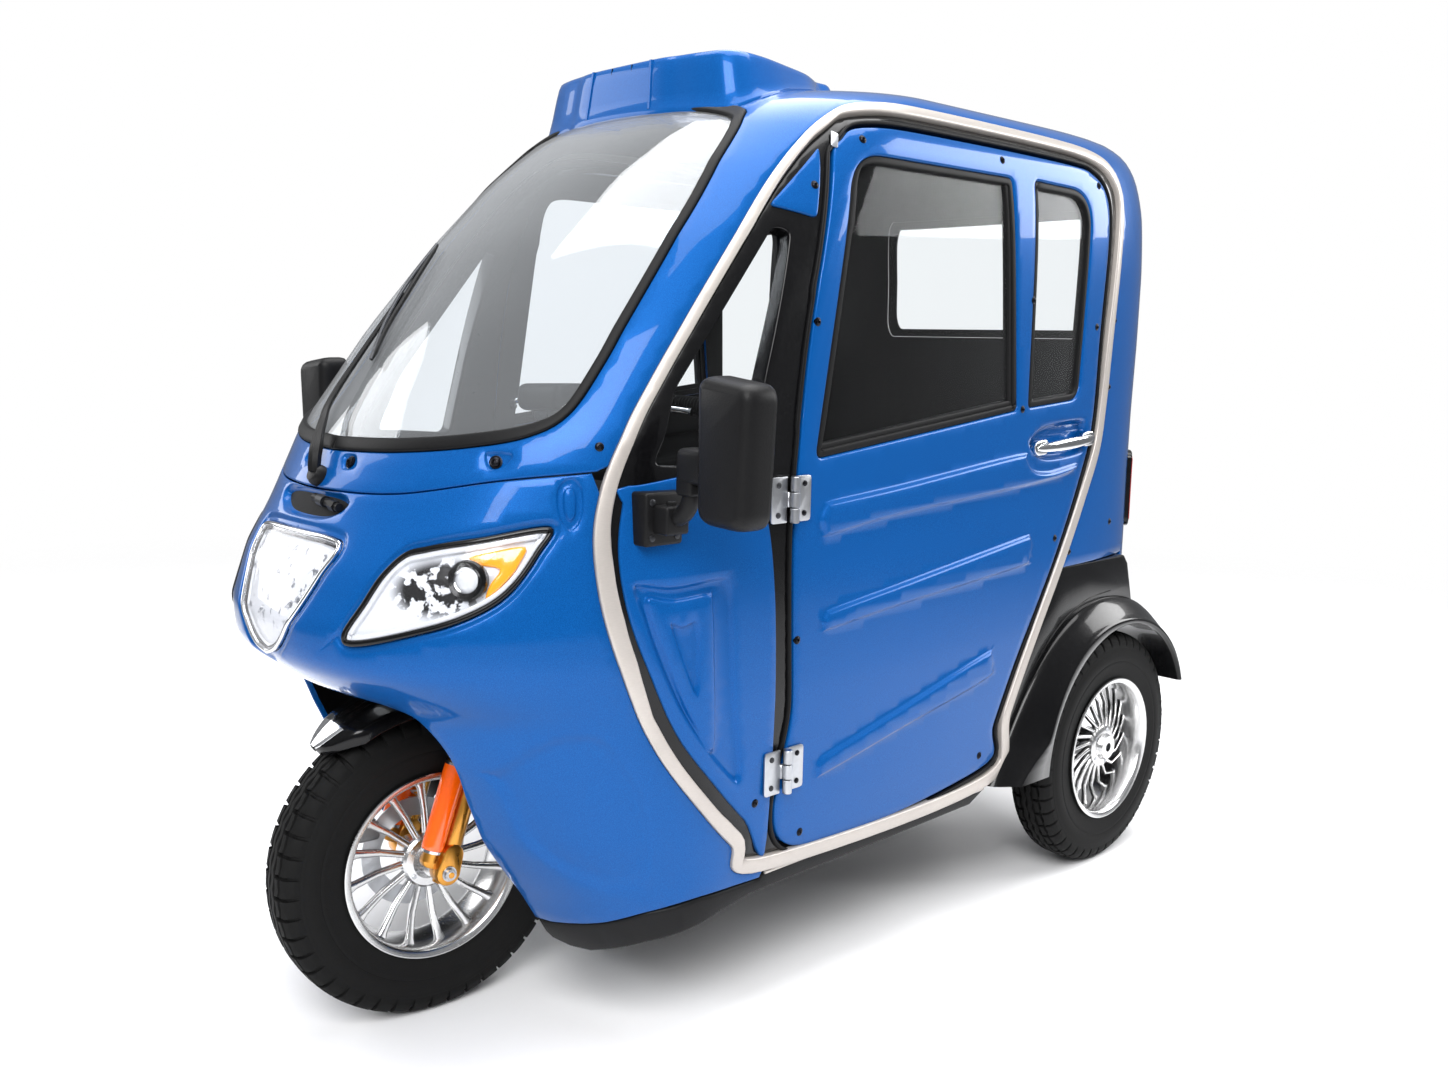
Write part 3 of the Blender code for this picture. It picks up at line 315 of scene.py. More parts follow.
def box_curve(p):
    """Both coordinates of the unit box curve at a place along it."""
    t = T1 + (np.clip(p, K1, K1 + CORNER) - K1) / CORNER * (T2 - T1)
    a = np.where(p < K1, p, np.sin(t) ** (2.0 / BOX_POWER))
    b = np.where(p < K1, np.clip(1.0 - np.clip(p, 0, 1) ** BOX_POWER, 0, 1) ** (1 / BOX_POWER),
                 np.cos(t) ** (2.0 / BOX_POWER))
    far = p > K1 + CORNER
    tail = np.clip(K1 - (p - K1 - CORNER), 0.0, 1.0)
    a = np.where(far, (1.0 - tail ** BOX_POWER) ** (1.0 / BOX_POWER), a)
    return a, np.where(far, tail, b)


def box_place(a, b=None):
    """The place along the unit box curve with this first, or else second, coordinate."""
    if a is None:
        if b < K1:
            return K1 + CORNER + (K1 - b)
        a = max(0.0, 1.0 - b ** BOX_POWER) ** (1.0 / BOX_POWER)
    if a <= K1:
        return a
    if a <= K2:
        return K1 + CORNER * (math.asin(a ** (BOX_POWER / 2.0)) - T1) / (T2 - T1)
    return K1 + CORNER + K1 - max(0.0, 1.0 - a ** BOX_POWER) ** (1.0 / BOX_POWER)


# %% Skin formula
def section(z):
    return [np.interp(z, FINE_Z, column) for column in FINE]


def skin(S_, V_):
    """Points of the skin at coordinate pairs, as an array of rows."""
    s, v = np.abs(S_), np.asarray(V_, dtype=float)
    rise, rounding = box_curve(np.clip((v - BELT) / (TOP - BELT), 0.0, P_END))
    high = v > BELT
    z = np.where(high, BELT + (TOP - BELT) * rise, v)
    half, nose, middle, back = section(z)
    half = half * np.where(high, rounding, 1.0)
    t = np.clip(FRONT_ARC - s, 0.0, FRONT_ARC) / FRONT_ARC * math.pi / 2.0
    along, across = box_curve(np.clip((s - FRONT_ARC) / BACK_ARC, 0.0, P_END))
    ahead = s < FRONT_ARC
    x = half * np.where(ahead, np.clip(np.cos(t), 0, 1) ** (2.0 / NOSE_POWER), across)
    y = np.where(ahead, middle - (middle - nose) * np.sin(t) ** (2.0 / NOSE_POWER),
                 middle + (back - middle) * along)
    return np.stack([np.where(np.asarray(S_) < 0, -x, x), y, z], axis=-1)


NORMAL_STEP = 0.0012
V_RIDGE = BELT + (TOP - BELT) * P_END
S_BACK = FRONT_ARC + BACK_ARC * P_END


def normals(S_, V_):
    """Outward unit normals of the skin."""
    e = NORMAL_STEP
    du = skin(np.minimum(S_ + e, S_BACK), V_) - skin(S_ - e, V_)
    dv = skin(S_, np.minimum(V_ + e, V_RIDGE)) - skin(S_, V_ - e)
    n = np.cross(du, dv)
    size = np.linalg.norm(n, axis=-1, keepdims=True)
    n = n / np.maximum(size, 1e-12)
    return np.where(size < 1e-10, np.array([0.0, 0.0, 1.0]), n)


def up(z):
    return z if z <= BELT else BELT + (TOP - BELT) * box_place((z - BELT) / (TOP - BELT))


def rounding_at(z):
    r = max(0.0, (z - BELT) / (TOP - BELT))
    return (1.0 - r ** BOX_POWER) ** (1.0 / BOX_POWER)


def at_side(y, z):
    """The coordinate pair of a point on the left side, from its y and z."""
    half, nose, middle, back = section(z)
    if y < middle:
        q = min(1.0, (middle - y) / (middle - nose))
        return FRONT_ARC * (1.0 - math.asin(q ** (NOSE_POWER / 2.0)) * 2.0 / math.pi), up(z)
    return FRONT_ARC + BACK_ARC * box_place(min(1.0, (y - middle) / (back - middle))), up(z)


def at_front(x, z):
    """The coordinate pair of a point of the nose, from its x and z."""
    half = section(z)[0] * rounding_at(z)
    c = min(1.0, abs(x) / half)
    s = FRONT_ARC * (1.0 - math.acos(c ** (NOSE_POWER / 2.0)) * 2.0 / math.pi)
    return math.copysign(s, x), up(z)


def at_back(x, z):
    """The coordinate pair of a point of the back wall, from its x and z."""
    half = section(z)[0] * rounding_at(z)
    return FRONT_ARC + BACK_ARC * box_place(None, min(1.0, abs(x) / half)), up(z)


# %% [markdown]
# ## Outlines
# The outlines are short lists of points, as a pattern maker would mark them. They are joined by
# smooth curves, or by straight lines with rounded corners where the real edge has corners.

# %% Outline helpers
def curve_through(points, closed=True, step=0.006):
    """A smooth curve through points, cut into equal short steps."""
    p = np.array(points, dtype=float)
    count = len(p)
    out = []
    for i in range(count if closed else count - 1):
        a = p[(i - 1) % count] if closed or i else p[0]
        b, c = p[i], p[(i + 1) % count]
        d = p[(i + 2) % count] if closed or i + 2 < count else p[-1]
        parts = max(1, int(np.linalg.norm(c - b) / step))
        for k in range(parts):
            t = k / parts
            out.append(0.5 * (2 * b + (c - a) * t + (2 * a - 5 * b + 4 * c - d) * t * t
                              + (3 * b - a - 3 * c + d) * t ** 3))
    if not closed:
        out.append(p[-1])
    return np.array(out)


def rounded(points, radius, step=0.006):
    """Straight lines between points with rounded corners, cut into short steps."""
    p = [np.array(q, dtype=float) for q in points]
    out = []
    for i, here in enumerate(p):
        before, after = p[i - 1], p[(i + 1) % len(p)]
        r = radius if np.isscalar(radius) else radius[i]
        d1, d2 = before - here, after - here
        l1, l2 = np.linalg.norm(d1), np.linalg.norm(d2)
        cut = min(r, 0.45 * l1, 0.45 * l2)
        a, c = here + d1 / l1 * cut, here + d2 / l2 * cut
        parts = max(2, int(cut * 1.6 / 0.0035))
        for k in range(parts + 1):
            t = k / parts
            out.append((1 - t) ** 2 * a + 2 * t * (1 - t) * here + t * t * c)
    return resample(np.array(out), step)


def resample(points, step):
    """Adds points where a closed outline has long stretches."""
    out = []
    for a, b in zip(points, np.roll(points, -1, axis=0)):
        parts = max(1, int(np.linalg.norm(b - a) / step))
        out += [a + (b - a) * k / parts for k in range(parts)]
    return np.array(out)


def grow(points, distance):
    """A closed outline moved outwards, or inwards for a negative distance."""
    p = np.array(points)
    nxt, prv = np.roll(p, -1, axis=0), np.roll(p, 1, axis=0)
    area = np.sum(p[:, 0] * nxt[:, 1] - nxt[:, 0] * p[:, 1])
    d1, d2 = p - prv, nxt - p
    d1 /= np.maximum(np.linalg.norm(d1, axis=1, keepdims=True), 1e-12)
    d2 /= np.maximum(np.linalg.norm(d2, axis=1, keepdims=True), 1e-12)
    n = np.stack([d1[:, 1] + d2[:, 1], -d1[:, 0] - d2[:, 0]], axis=1) * np.sign(area)
    n /= np.maximum(np.linalg.norm(n, axis=1, keepdims=True), 1e-9)
    reach = distance / np.maximum(0.5, np.abs(n[:, 0] * d1[:, 1] - n[:, 1] * d1[:, 0]))
    return p + n * reach[:, None]


def edge_distance(points, outline, skip=None):
    """Each point's distance to an outline, and whether it lies inside."""
    a, b = outline, np.roll(outline, -1, axis=0)
    near = np.full(len(points), 1e9)
    inside = np.zeros(len(points), dtype=bool)
    for p, q in zip(a, b):
        d = q - p
        size = max(1e-12, float(d @ d))
        t = np.clip(((points - p) @ d) / size, 0.0, 1.0)
        if skip is None or not skip(p, q):
            near = np.minimum(near, np.linalg.norm(points - p - t[:, None] * d, axis=1))
        if p[1] != q[1]:
            crosses = (p[1] > points[:, 1]) != (q[1] > points[:, 1])
            at = p[0] + (points[:, 1] - p[1]) * d[0] / d[1]
            inside ^= crosses & (points[:, 0] < at)
    return near, inside


# %% [markdown]
# ## Panels
# A panel is a patch of skin inside an outline. Its edges are rolled over by a few millimetres,
# as moulded panels are, and stampings press parts of it in or out. The patch is filled with
# triangles between the outline's loops and a plain grid, then given its thickness.

# %% Panel maker
def on_plane(p, q):
    """True for an outline's step along the middle plane, the back seam or the ridge."""
    return ((abs(p[0]) < 1e-9 and abs(q[0]) < 1e-9)
            or (p[0] > S_BACK - 1e-6 and q[0] > S_BACK - 1e-6)
            or (p[1] > V_RIDGE - 1e-6 and q[1] > V_RIDGE - 1e-6))


def placed(name, data):
    """A new object in the scene."""
    item = bpy.data.objects.new(name, data)
    bpy.context.scene.collection.objects.link(item)
    return item


def smoothed(mesh, smooth):
    """Smooth faces with sharp edges above an angle in degrees."""
    mesh.polygons.foreach_set("use_smooth", [True] * len(mesh.polygons))
    mesh.set_sharp_from_angle(angle=math.radians(smooth))


def mesh_object(name, points, faces, material, smooth=40.0, back=None, slots=None):
    mesh = bpy.data.meshes.new(name)
    mesh.from_pydata([tuple(p) for p in points], [], [tuple(f) for f in faces])
    mesh.materials.append(material)
    if back is not None:
        mesh.materials.append(back)
        mesh.polygons.foreach_set("material_index", slots)
    smoothed(mesh, smooth)
    return placed(name, mesh)


def cleaned(item, smooth, weld=1e-6):
    """Welds a closed body's doubled points and turns its faces outwards."""
    bm = bmesh.new()
    bm.from_mesh(item.data)
    if weld:
        bmesh.ops.remove_doubles(bm, verts=bm.verts, dist=weld)
    bmesh.ops.recalc_face_normals(bm, faces=bm.faces)
    bm.to_mesh(item.data)
    bm.free()
    item.data.set_sharp_from_angle(angle=math.radians(smooth))
    return item


def panel(name, outline, material, holes=(), thick=0.004, proud=0.0, roll=0.0025, step=0.014,
          stamps=(), mirror=False, body=None, replaces=None, liner=None):
    """A patch of skin as a closed body. stamps are (outline, depth, width) in the same pairs."""
    outline = np.array(outline)
    loops = [outline] + [np.array(h) for h in holes]
    depths = (0.0,) if roll <= 0 else (0.0, roll * 0.12, roll * 0.4, roll)
    points, edges = [], []

    def add_loop(loop):
        base = len(points)
        points.extend(map(tuple, loop))
        edges.extend((base + i, base + (i + 1) % len(loop)) for i in range(len(loop)))

    for k, loop in enumerate(loops):
        for depth in depths:
            add_loop(loop if depth == 0 else grow(loop, depth if k else -depth))
    for stamp, depth, width in stamps:
        for share in (0.0, 0.25, 0.5, 0.75, 1.0):
            add_loop(grow(stamp, -width * share))
    low, high = outline.min(axis=0), outline.max(axis=0)
    gs, gv = np.meshgrid(np.arange(low[0] + step / 2, high[0], step),
                         np.arange(low[1] + step / 2, high[1], step))
    gs = gs + (np.arange(gs.shape[0]) % 2)[:, None] * step * 0.5
    grid = np.stack([gs.ravel(), gv.ravel()], axis=1)
    near, inside = edge_distance(grid, outline)
    keep = inside & (near > roll + step * 0.45)
    for hole in holes:
        near, within = edge_distance(grid, np.array(hole))
        keep &= ~within & (near > roll + step * 0.45)
    for stamp, depth, width in stamps:
        near, within = edge_distance(grid, np.array(stamp))
        keep &= ~(within & (near < width + step * 0.3)) & ~(near < step * 0.3)
    points += [tuple(p) for p in grid[keep]]
    done = geometry.delaunay_2d_cdt([Vector(p) for p in points], edges, [], 0, 1e-7)
    flat = np.array([tuple(v) for v in done[0]])
    tris = np.array([tuple(f) for f in done[2]])
    centre = flat[tris].mean(axis=1)
    good = edge_distance(centre, outline)[1]
    for hole in holes:
        good &= ~edge_distance(centre, np.array(hole))[1]
    tris = tris[good]
    used = np.unique(tris)
    flat, tris = flat[used], np.searchsorted(used, tris)
    one, two = flat[tris[:, 1]] - flat[tris[:, 0]], flat[tris[:, 2]] - flat[tris[:, 0]]
    area = one[:, 0] * two[:, 1] - one[:, 1] * two[:, 0]
    tris = np.where((area < 0)[:, None], tris[:, ::-1], tris)
    near = edge_distance(flat, outline, on_plane)[0]
    for hole in holes:
        near = np.minimum(near, edge_distance(flat, np.array(hole), on_plane)[0])
    push = np.full(len(flat), proud)
    if roll > 0:
        d = np.clip(roll - near, 0.0, roll)
        push -= roll - np.sqrt(np.maximum(0.0, roll * roll - d * d))
    for stamp, depth, width in stamps:
        dist, within = edge_distance(flat, np.array(stamp))
        t = np.clip(dist / width, 0.0, 1.0) * within
        push += depth * t * t * (3.0 - 2.0 * t)
    base, n = skin(flat[:, 0], flat[:, 1]), normals(flat[:, 0], flat[:, 1])
    flatten = (np.abs(flat[:, 0]) < 1e-9) | (flat[:, 0] > S_BACK - 1e-6)
    n[flatten, 0] = 0.0
    n /= np.linalg.norm(n, axis=1, keepdims=True)
    outer, inner = base + n * push[:, None], base + n * (push - thick)[:, None]
    inner = np.where((push < proud - 1e-6)[:, None], base + n * (proud - thick), inner)
    if mirror:
        flip = np.array([-1.0, 1.0, 1.0])
        middle = np.abs(outer[:, 0]) < 1e-5
        index = np.where(middle, np.arange(len(flat)), np.arange(len(flat)) + len(flat))
        outer, inner = np.vstack([outer, outer * flip]), np.vstack([inner, inner * flip])
        tris = np.vstack([tris, index[tris][:, ::-1]])
        used = np.unique(tris)
        outer, inner, tris = outer[used], inner[used], np.searchsorted(used, tris)
    good = (tris[:, 0] != tris[:, 1]) & (tris[:, 1] != tris[:, 2]) & (tris[:, 0] != tris[:, 2])
    tris = tris[good]
    count = len(outer)
    steps = np.vstack([tris[:, [0, 1]], tris[:, [1, 2]], tris[:, [2, 0]]])
    keys = {(int(a), int(b)) for a, b in steps}
    rim = [(a, b) for a, b in keys if (b, a) not in keys]
    faces = [tuple(map(int, t)) for t in tris]
    faces += [(int(t[2]) + count, int(t[1]) + count, int(t[0]) + count) for t in tris]
    faces += [(b, a, a + count, b + count) for a, b in rim]
    slots = [0] * len(tris) + [1] * len(tris) + [0] * len(rim)
    item = mesh_object(name, np.vstack([outer, inner]), faces, material, 40.0, liner, slots)
    if mirror or body:
        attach(item, body or "body")
    if replaces:
        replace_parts(item, replaces)
    return item


def twin(item, name, body):
    """The mirror image of a finished piece, on the other side of the vehicle."""
    mesh = item.data.copy()
    bm = bmesh.new()
    bm.from_mesh(mesh)
    bmesh.ops.transform(bm, matrix=Matrix.Diagonal((-1.0, 1.0, 1.0, 1.0)), verts=bm.verts)
    bmesh.ops.reverse_faces(bm, faces=bm.faces)
    bm.to_mesh(mesh)
    bm.free()
    other = placed(name, mesh)
    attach(other, body)
    return other


def side_pair(name, make, body="body", replaces=None):
    """A left piece made by a call, and its twin on the right."""
    right_body = body.replace("left", "right")
    left = make(name + "_l")
    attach(left, body)
    right = twin(left, name + "_r", right_body)
    if replaces:
        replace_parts(left, replaces + "_left")
        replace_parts(right, replaces + "_right")
    return left, right


def panel_pair(name, outline, material, body="body", replaces=None, **how):
    """A panel on the left and its twin on the right."""
    side_pair(name, lambda label: panel(label, outline, material, **how), body, replaces)


def ring_pair(name, outline, width, material, body="body", replaces=None, **how):
    """Strips on both sides that follow an outline on its inner side."""
    panel_pair(name, outline, material, body, replaces, holes=[grow(outline, -width)], **how)


# %% Outline tables
TRIM_LINE = mm(-354, 274, -434, 340, -500, 412, -575, 510, -629, 613, -670, 724, -684, 826,
               -672, 911, -637, 996, -579, 1081, -479, 1211, -347, 1372, -262, 1455, -190, 1505,
               -110, 1532, 50, 1540, 420, 1538, 580, 1528, 645, 1500, 672, 1440, 668, 1321,
               655, 1150, 648, 1032, 630, 928, 571, 816, 489, 678, 412, 552, 341, 414, 279, 274)
DOOR = mm(-290, 300, -300, 557, -308, 792, -300, 953, -275, 1175, -222, 1413, -190, 1465,
          -120, 1492, 150, 1497, 480, 1494, 560, 1484, 606, 1450, 618, 1380, 606, 1176, 600, 992,
          562, 880, 470, 711, 362, 540, 290, 400, 250, 312)
QUARTER = mm(-348, 328, -402, 374, -470, 447, -543, 537, -596, 640, -634, 735, -648, 826,
             -638, 905, -628, 930, -378, 885)
COWL_SEAM = mm(-904, 907, -870, 913, -779, 938, -666, 951.5)
SCREEN = mm(0, 962, 150, 968, 260, 980, 330, 998, 358, 1030, 362, 1100, 358, 1180, 345, 1330,
            322, 1440, 300, 1495, 270, 1520, 150, 1540, 0, 1546)
HEADLIGHT = mm(190, 700, 205, 766, 232, 829, 265, 846, 316, 859, 376, 874, 374, 835, 363, 787,
               339, 753, 290, 725)
CENTRE_LIGHT = mm(0, 655, 45, 674, 85, 720, 120, 790, 132, 834, 100, 846, 0, 848)
ARCH = mm(212, 200.5, 208, 318, 219, 420, 229, 510, 187, 581, 130, 598, 0, 605)


def side_pairs(points):
    return np.array([at_side(y, z) for y, z in points])


def front_pairs(points):
    return np.array([at_front(x, z) for x, z in points])


# %% [markdown]
# ## Painted shell and nose
# The roof, pillars and back are one moulding, and the nose is another; they meet in a seam
# below the windscreen. Only the left half is laid out; the right half is its mirror image and
# is welded along the middle.

# %% Shell
trim = curve_through(TRIM_LINE, step=0.010)
trim_edge = side_pairs(trim)
seam = curve_through(side_pairs(COWL_SEAM), closed=False, step=0.010)
seam[0, 0] = 0.0
screen = curve_through(front_pairs(SCREEN), closed=False, step=0.010)
screen[0, 0] = screen[-1, 0] = 0.0
BACK_LOW, BACK_HIGH, BACK_SIDE = up(1.160), up(1.455), 0.355


def line(a, b, step=0.012):
    """Points from one place up to, but without, another."""
    a, b = np.array(a, float), np.array(b, float)
    parts = max(1, int(np.linalg.norm(b - a) / step))
    return [a + (b - a) * k / parts for k in range(parts)]


def back_window(inset=0.0):
    """The left half of the rear window's outline, from its foot on the middle line."""
    side = at_back(BACK_SIDE - inset, 1.3)[0]
    low, high, mid, r = BACK_LOW + inset, BACK_HIGH - inset, S_BACK, 0.045
    out = line((mid, low), (side + r, low))
    quarter_turn = np.linspace(0.0, math.pi / 2, 7)
    out += [(side + r - r * math.sin(a), low + r - r * math.cos(a)) for a in quarter_turn]
    out += line((side, low + r + 0.01), (side, high - r))
    out += [(side + r - r * math.cos(a), high - r + r * math.sin(a)) for a in quarter_turn]
    return out + line((side + r + 0.01, high), (mid, high)) + [(mid, high)]


def trim_index(y, z):
    """The trim line's point that is nearest to a place."""
    return int(np.argmin(np.hypot(trim[:, 0] - y, trim[:, 1] - z)))


def shell_outline():
    """The left half of the roof, pillar and back, from the cowl's seam round to it."""
    start, end = trim_index(-0.655, 0.962), trim_index(0.500, 0.696)
    out = list(seam[:-1]) + list(trim_edge[start:end])
    corner, skirt = at_side(0.806, 0.65)[0], at_back(0.339, 0.6)[0]
    foot = [at_side(0.500, 0.6905), (corner, 0.6905), (corner, 0.6125), (skirt, 0.6125),
            (skirt, 0.4505), (S_BACK, 0.4505), (S_BACK, BACK_LOW - 0.004)]
    for a, b in zip(foot, foot[1:]):
        out += line(a, b)
    out += back_window()
    out += line((S_BACK, BACK_HIGH + 0.012), (S_BACK, V_RIDGE))
    out += line((S_BACK, V_RIDGE), (0.0, V_RIDGE), 0.03)
    out += line((0.0, V_RIDGE), (0.0, screen[-1, 1] + 0.004))
    out += list(screen[::-1])
    out += line(screen[0] - (0.0, 0.008), seam[0] + (0.0, 0.004))
    return np.array(out)


POCKETS = [front_pairs(mm(289, 976, 321, 976, 318, 957, 300, 951)),
           front_pairs(mm(40, 957, 72, 960, 84, 941, 54, 936))]
shell = panel("shell_skin", shell_outline(), PAINT, thick=0.012, step=0.018, mirror=True,
              replaces="body_shell", liner=LINER_WITH_PAINTED_SHADE,
              stamps=[(curve_through(p, step=0.004), -0.004, 0.005) for p in POCKETS])
print("shell faces", len(shell.data.polygons))

# %% Nose
SILL_LINE = mm(-361, 262, -492, 266, -567, 251, -610, 224, -630, 210, -641, 201)
headlight = curve_through(front_pairs(HEADLIGHT), step=0.006)
centre_light = curve_through(front_pairs(CENTRE_LIGHT), closed=False, step=0.006)
centre_light[0, 0] = centre_light[-1, 0] = 0.0
arch = curve_through(front_pairs(ARCH), closed=False, step=0.010)
arch[-1, 0] = 0.0


def nose_outline():
    """The left half of the nose, from the cowl's seam down the trim and back up the middle."""
    top = trim_index(-0.668, 0.930)
    out = [p - (0.0, 0.002) for p in seam[:-2]] + list(trim_edge[:top][::-1])
    out += list(curve_through(side_pairs(SILL_LINE), closed=False, step=0.012))
    out += list(arch)
    out += line((0.0, arch[-1, 1] + 0.008), (0.0, centre_light[0, 1] - 0.004))
    out += list(centre_light)
    out += line((0.0, centre_light[-1, 1] + 0.006), (0.0, seam[0, 1] - 0.004))
    return np.array(out)


BLISTER = side_pairs(mm(-703, 944, -690, 926, -694, 886, -711, 866, -724, 886, -722, 926))
BLISTER_TOP = side_pairs(mm(-706, 930, -699, 920, -702, 890, -711, 880, -717, 892, -715, 922))
CHEEK = front_pairs(mm(262, 497, 293, 508, 340, 545, 372, 566, 405, 560, 420, 500, 425, 430,
                       420, 350, 405, 300, 370, 284, 330, 305, 298, 340, 282, 380, 280, 420,
                       280, 455, 270, 480))
LEDGE = grow(headlight, 0.012)
left_tip = int(np.argmin(LEDGE[:, 0]))
LEDGE = np.vstack([LEDGE[:left_tip], front_pairs(((0.140, 0.682),)), LEDGE[left_tip + 1:]])
lamp_edge = np.vstack([centre_light, -centre_light[::-1][1:-1] * (1, -1)])
COWL_PAN = front_pairs(mm(-100, 900, -60, 908, 60, 908, 100, 900, 108, 889, 92, 873, 50, 862,
                          -50, 862, -92, 873, -108, 889))
nose = panel("nose_skin", nose_outline(), PAINT, holes=[headlight], thick=0.010, step=0.016,
             mirror=True, replaces="front_fascia", liner=LINER_WITH_PAINTED_SHADE,
             stamps=[(curve_through(BLISTER, step=0.004), -0.003, 0.004),
                     (curve_through(BLISTER_TOP, step=0.004), 0.004, 0.004),
                     (resample(LEDGE, 0.006), -0.0045, 0.009),
                     (resample(grow(lamp_edge, 0.014), 0.006), -0.0045, 0.010),
                     (curve_through(COWL_PAN, step=0.006), -0.011, 0.011),
                     (curve_through(CHEEK, step=0.010), -0.008, 0.026)])
print("nose faces", len(nose.data.polygons))

# %% [markdown]
# ## Doors
# Each door is one moulding with two window holes. Three long raised bars stiffen it, and a
# dish behind the handle makes room for fingers. The bars and the dish are pressed into the
# skin as height over an outline, so they keep soft shoulders.

# %% Door panels
BARS = (
    mm(-252, 854, -240, 876, -223, 884, -46, 899, 320, 935, 345, 925, 370, 903, 430, 896,
       540, 906, 463, 877, -43, 842, -227, 822, -243, 832),
    mm(-240, 682, -232, 696, -214, 702, -35, 724, 350, 772, 372, 770, 380, 752, 372, 722,
       350, 709, -32, 680, -222, 662, -236, 668),
    mm(-240, 428, -232, 442, -216, 448, -20, 494, 240, 555, 260, 548, 266, 522, 247, 497,
       -17, 447, -218, 408, -235, 412))
DISH = mm(354, 952, 381, 979, 427, 991, 549, 997, 572, 980, 572, 942, 556, 922, 447, 914,
          387, 922)
door = side_pairs(curve_through(DOOR, step=0.010))
FRONT_PANE = mm(-262, 952, -180, 1445, 263, 1447, 308, 1018)
REAR_PANE = mm(345, 1022, 338, 1450, 545, 1446, 532, 1036)
front_pane = side_pairs(rounded(FRONT_PANE, (0.02, 0.07, 0.012, 0.012), 0.010))
rear_pane = side_pairs(rounded(REAR_PANE, (0.012, 0.012, 0.075, 0.035), 0.010))
WINDOWS = {"door_glass": front_pane, "vent_glass": rear_pane}
DOOR_BODY, PANE = "door_left_swing", {"thick": 0.004, "roll": 0.0, "step": 0.03}
print("door outline points", len(door))
stamps = [(side_pairs(curve_through(bar, step=0.005)), 0.0070, 0.0100) for bar in BARS]
stamps.append((side_pairs(curve_through(DISH, step=0.007)), -0.013, 0.014))
panel_pair("door_skin", door, PAINT, DOOR_BODY, "door", holes=WINDOWS.values(), thick=0.026,
           roll=0.0045, stamps=stamps, liner=LINER_WITH_PAINTED_SHADE)
for pane, edge in WINDOWS.items():
    ring_pair(pane + "_seal", grow(edge, -0.0004), 0.013, SEAL, DOOR_BODY, proud=-0.002,
              thick=0.018, roll=0.003)
    panel_pair(pane + "_pane", grow(edge, -0.006), SIDE_GLASS, DOOR_BODY, pane, proud=-0.010,
               **PANE)

# %% Sliding window rails
RAILS = (mm(243, 1436, 268, 1436, 305, 1026, 281, 1026),
         mm(-254, 962, -252, 976, 300, 1040, 300, 1027))
for k, rail in enumerate(RAILS):
    panel_pair("window_rail_%d" % k, side_pairs(resample(np.array(rail), 0.01)), SEAL, DOOR_BODY,
               thick=0.012, proud=-0.005, roll=0.003)

# %% [markdown]
# ## Trim and door frame
# A satin silver moulding runs round the whole side opening. Inside it sits the black frame
# that carries the hinges, with a rubber lip that the door closes against.

# %% Trim and frame
quarter = side_pairs(curve_through(QUARTER, step=0.010))
SIDE_OPENING = side_pairs(rounded(mm(-570, 1000, -545, 1068, -345, 1318, -318, 1312, -372, 1110,
                                     -415, 945, -590, 958), 0.015, 0.008))
ring_pair("trim_strip", trim_edge, 0.0255, TRIM, "body", "side_trim", proud=0.006, thick=0.013,
          roll=0.0035)
panel_pair("door_frame", grow(trim_edge, -0.0259), GLOSS_BLACK, "body", "door_jamb",
           holes=[grow(door, 0.0055), SIDE_OPENING, grow(quarter, -0.018)],
           thick=0.030, proud=-0.004, roll=0.003)
ring_pair("door_lip", grow(door, 0.0135), 0.0075, SEAL, proud=0.001, thick=0.008, roll=0.003)
panel_pair("quarter_pane", grow(SIDE_OPENING, 0.006), SIDE_GLASS, "body", "side_glass",
           proud=-0.0345, **PANE)

# %% Quarter panel
RECESS = mm(-628, 787, -559, 780, -470, 784, -446, 768, -438, 690, -428, 560, -412, 470,
            -425, 440, -480, 492, -540, 572, -588, 660, -615, 730)
ISLAND = mm(-610, 755, -600, 768, -558, 759, -492, 761, -479, 745, -470, 520, -480, 505,
            -495, 512, -548, 605, -590, 695)
TRIANGLE = mm(-568, 719, -545, 716, -511, 714, -508, 615, -522, 608)
GUSSET = mm(-343, 1350, -234, 1449, -239, 1430, -267, 1334)
panel_pair("quarter_skin", quarter, PAINT, "body", "side_panel", thick=0.011, proud=0.0005,
           roll=0.003, stamps=[
               (side_pairs(curve_through(RECESS, step=0.008)), -0.0080, 0.011),
               (side_pairs(curve_through(ISLAND, step=0.008)), 0.0075, 0.008),
               (side_pairs(curve_through(TRIANGLE, step=0.006)), -0.0065, 0.007)])
panel_pair("pillar_gusset", side_pairs(rounded(GUSSET, 0.008, 0.006)), PAINT, thick=0.008,
           proud=0.001, roll=0.003)

# %% [markdown]
# ## Windscreen and rear window
# Both panes sit in black rubber gaskets. A gasket is a ring that follows the edge, a little
# proud of the paint.

# %% Screens
def screen_half(inset):
    """The left half of the windscreen outline, closed along the middle line."""
    edge = grow(np.vstack([screen, [(-0.3, screen[-1, 1])], [(-0.3, screen[0, 1])]]), -inset)
    edge = edge[:len(screen)].copy()
    edge[0, 0] = edge[-1, 0] = 0.0
    return edge


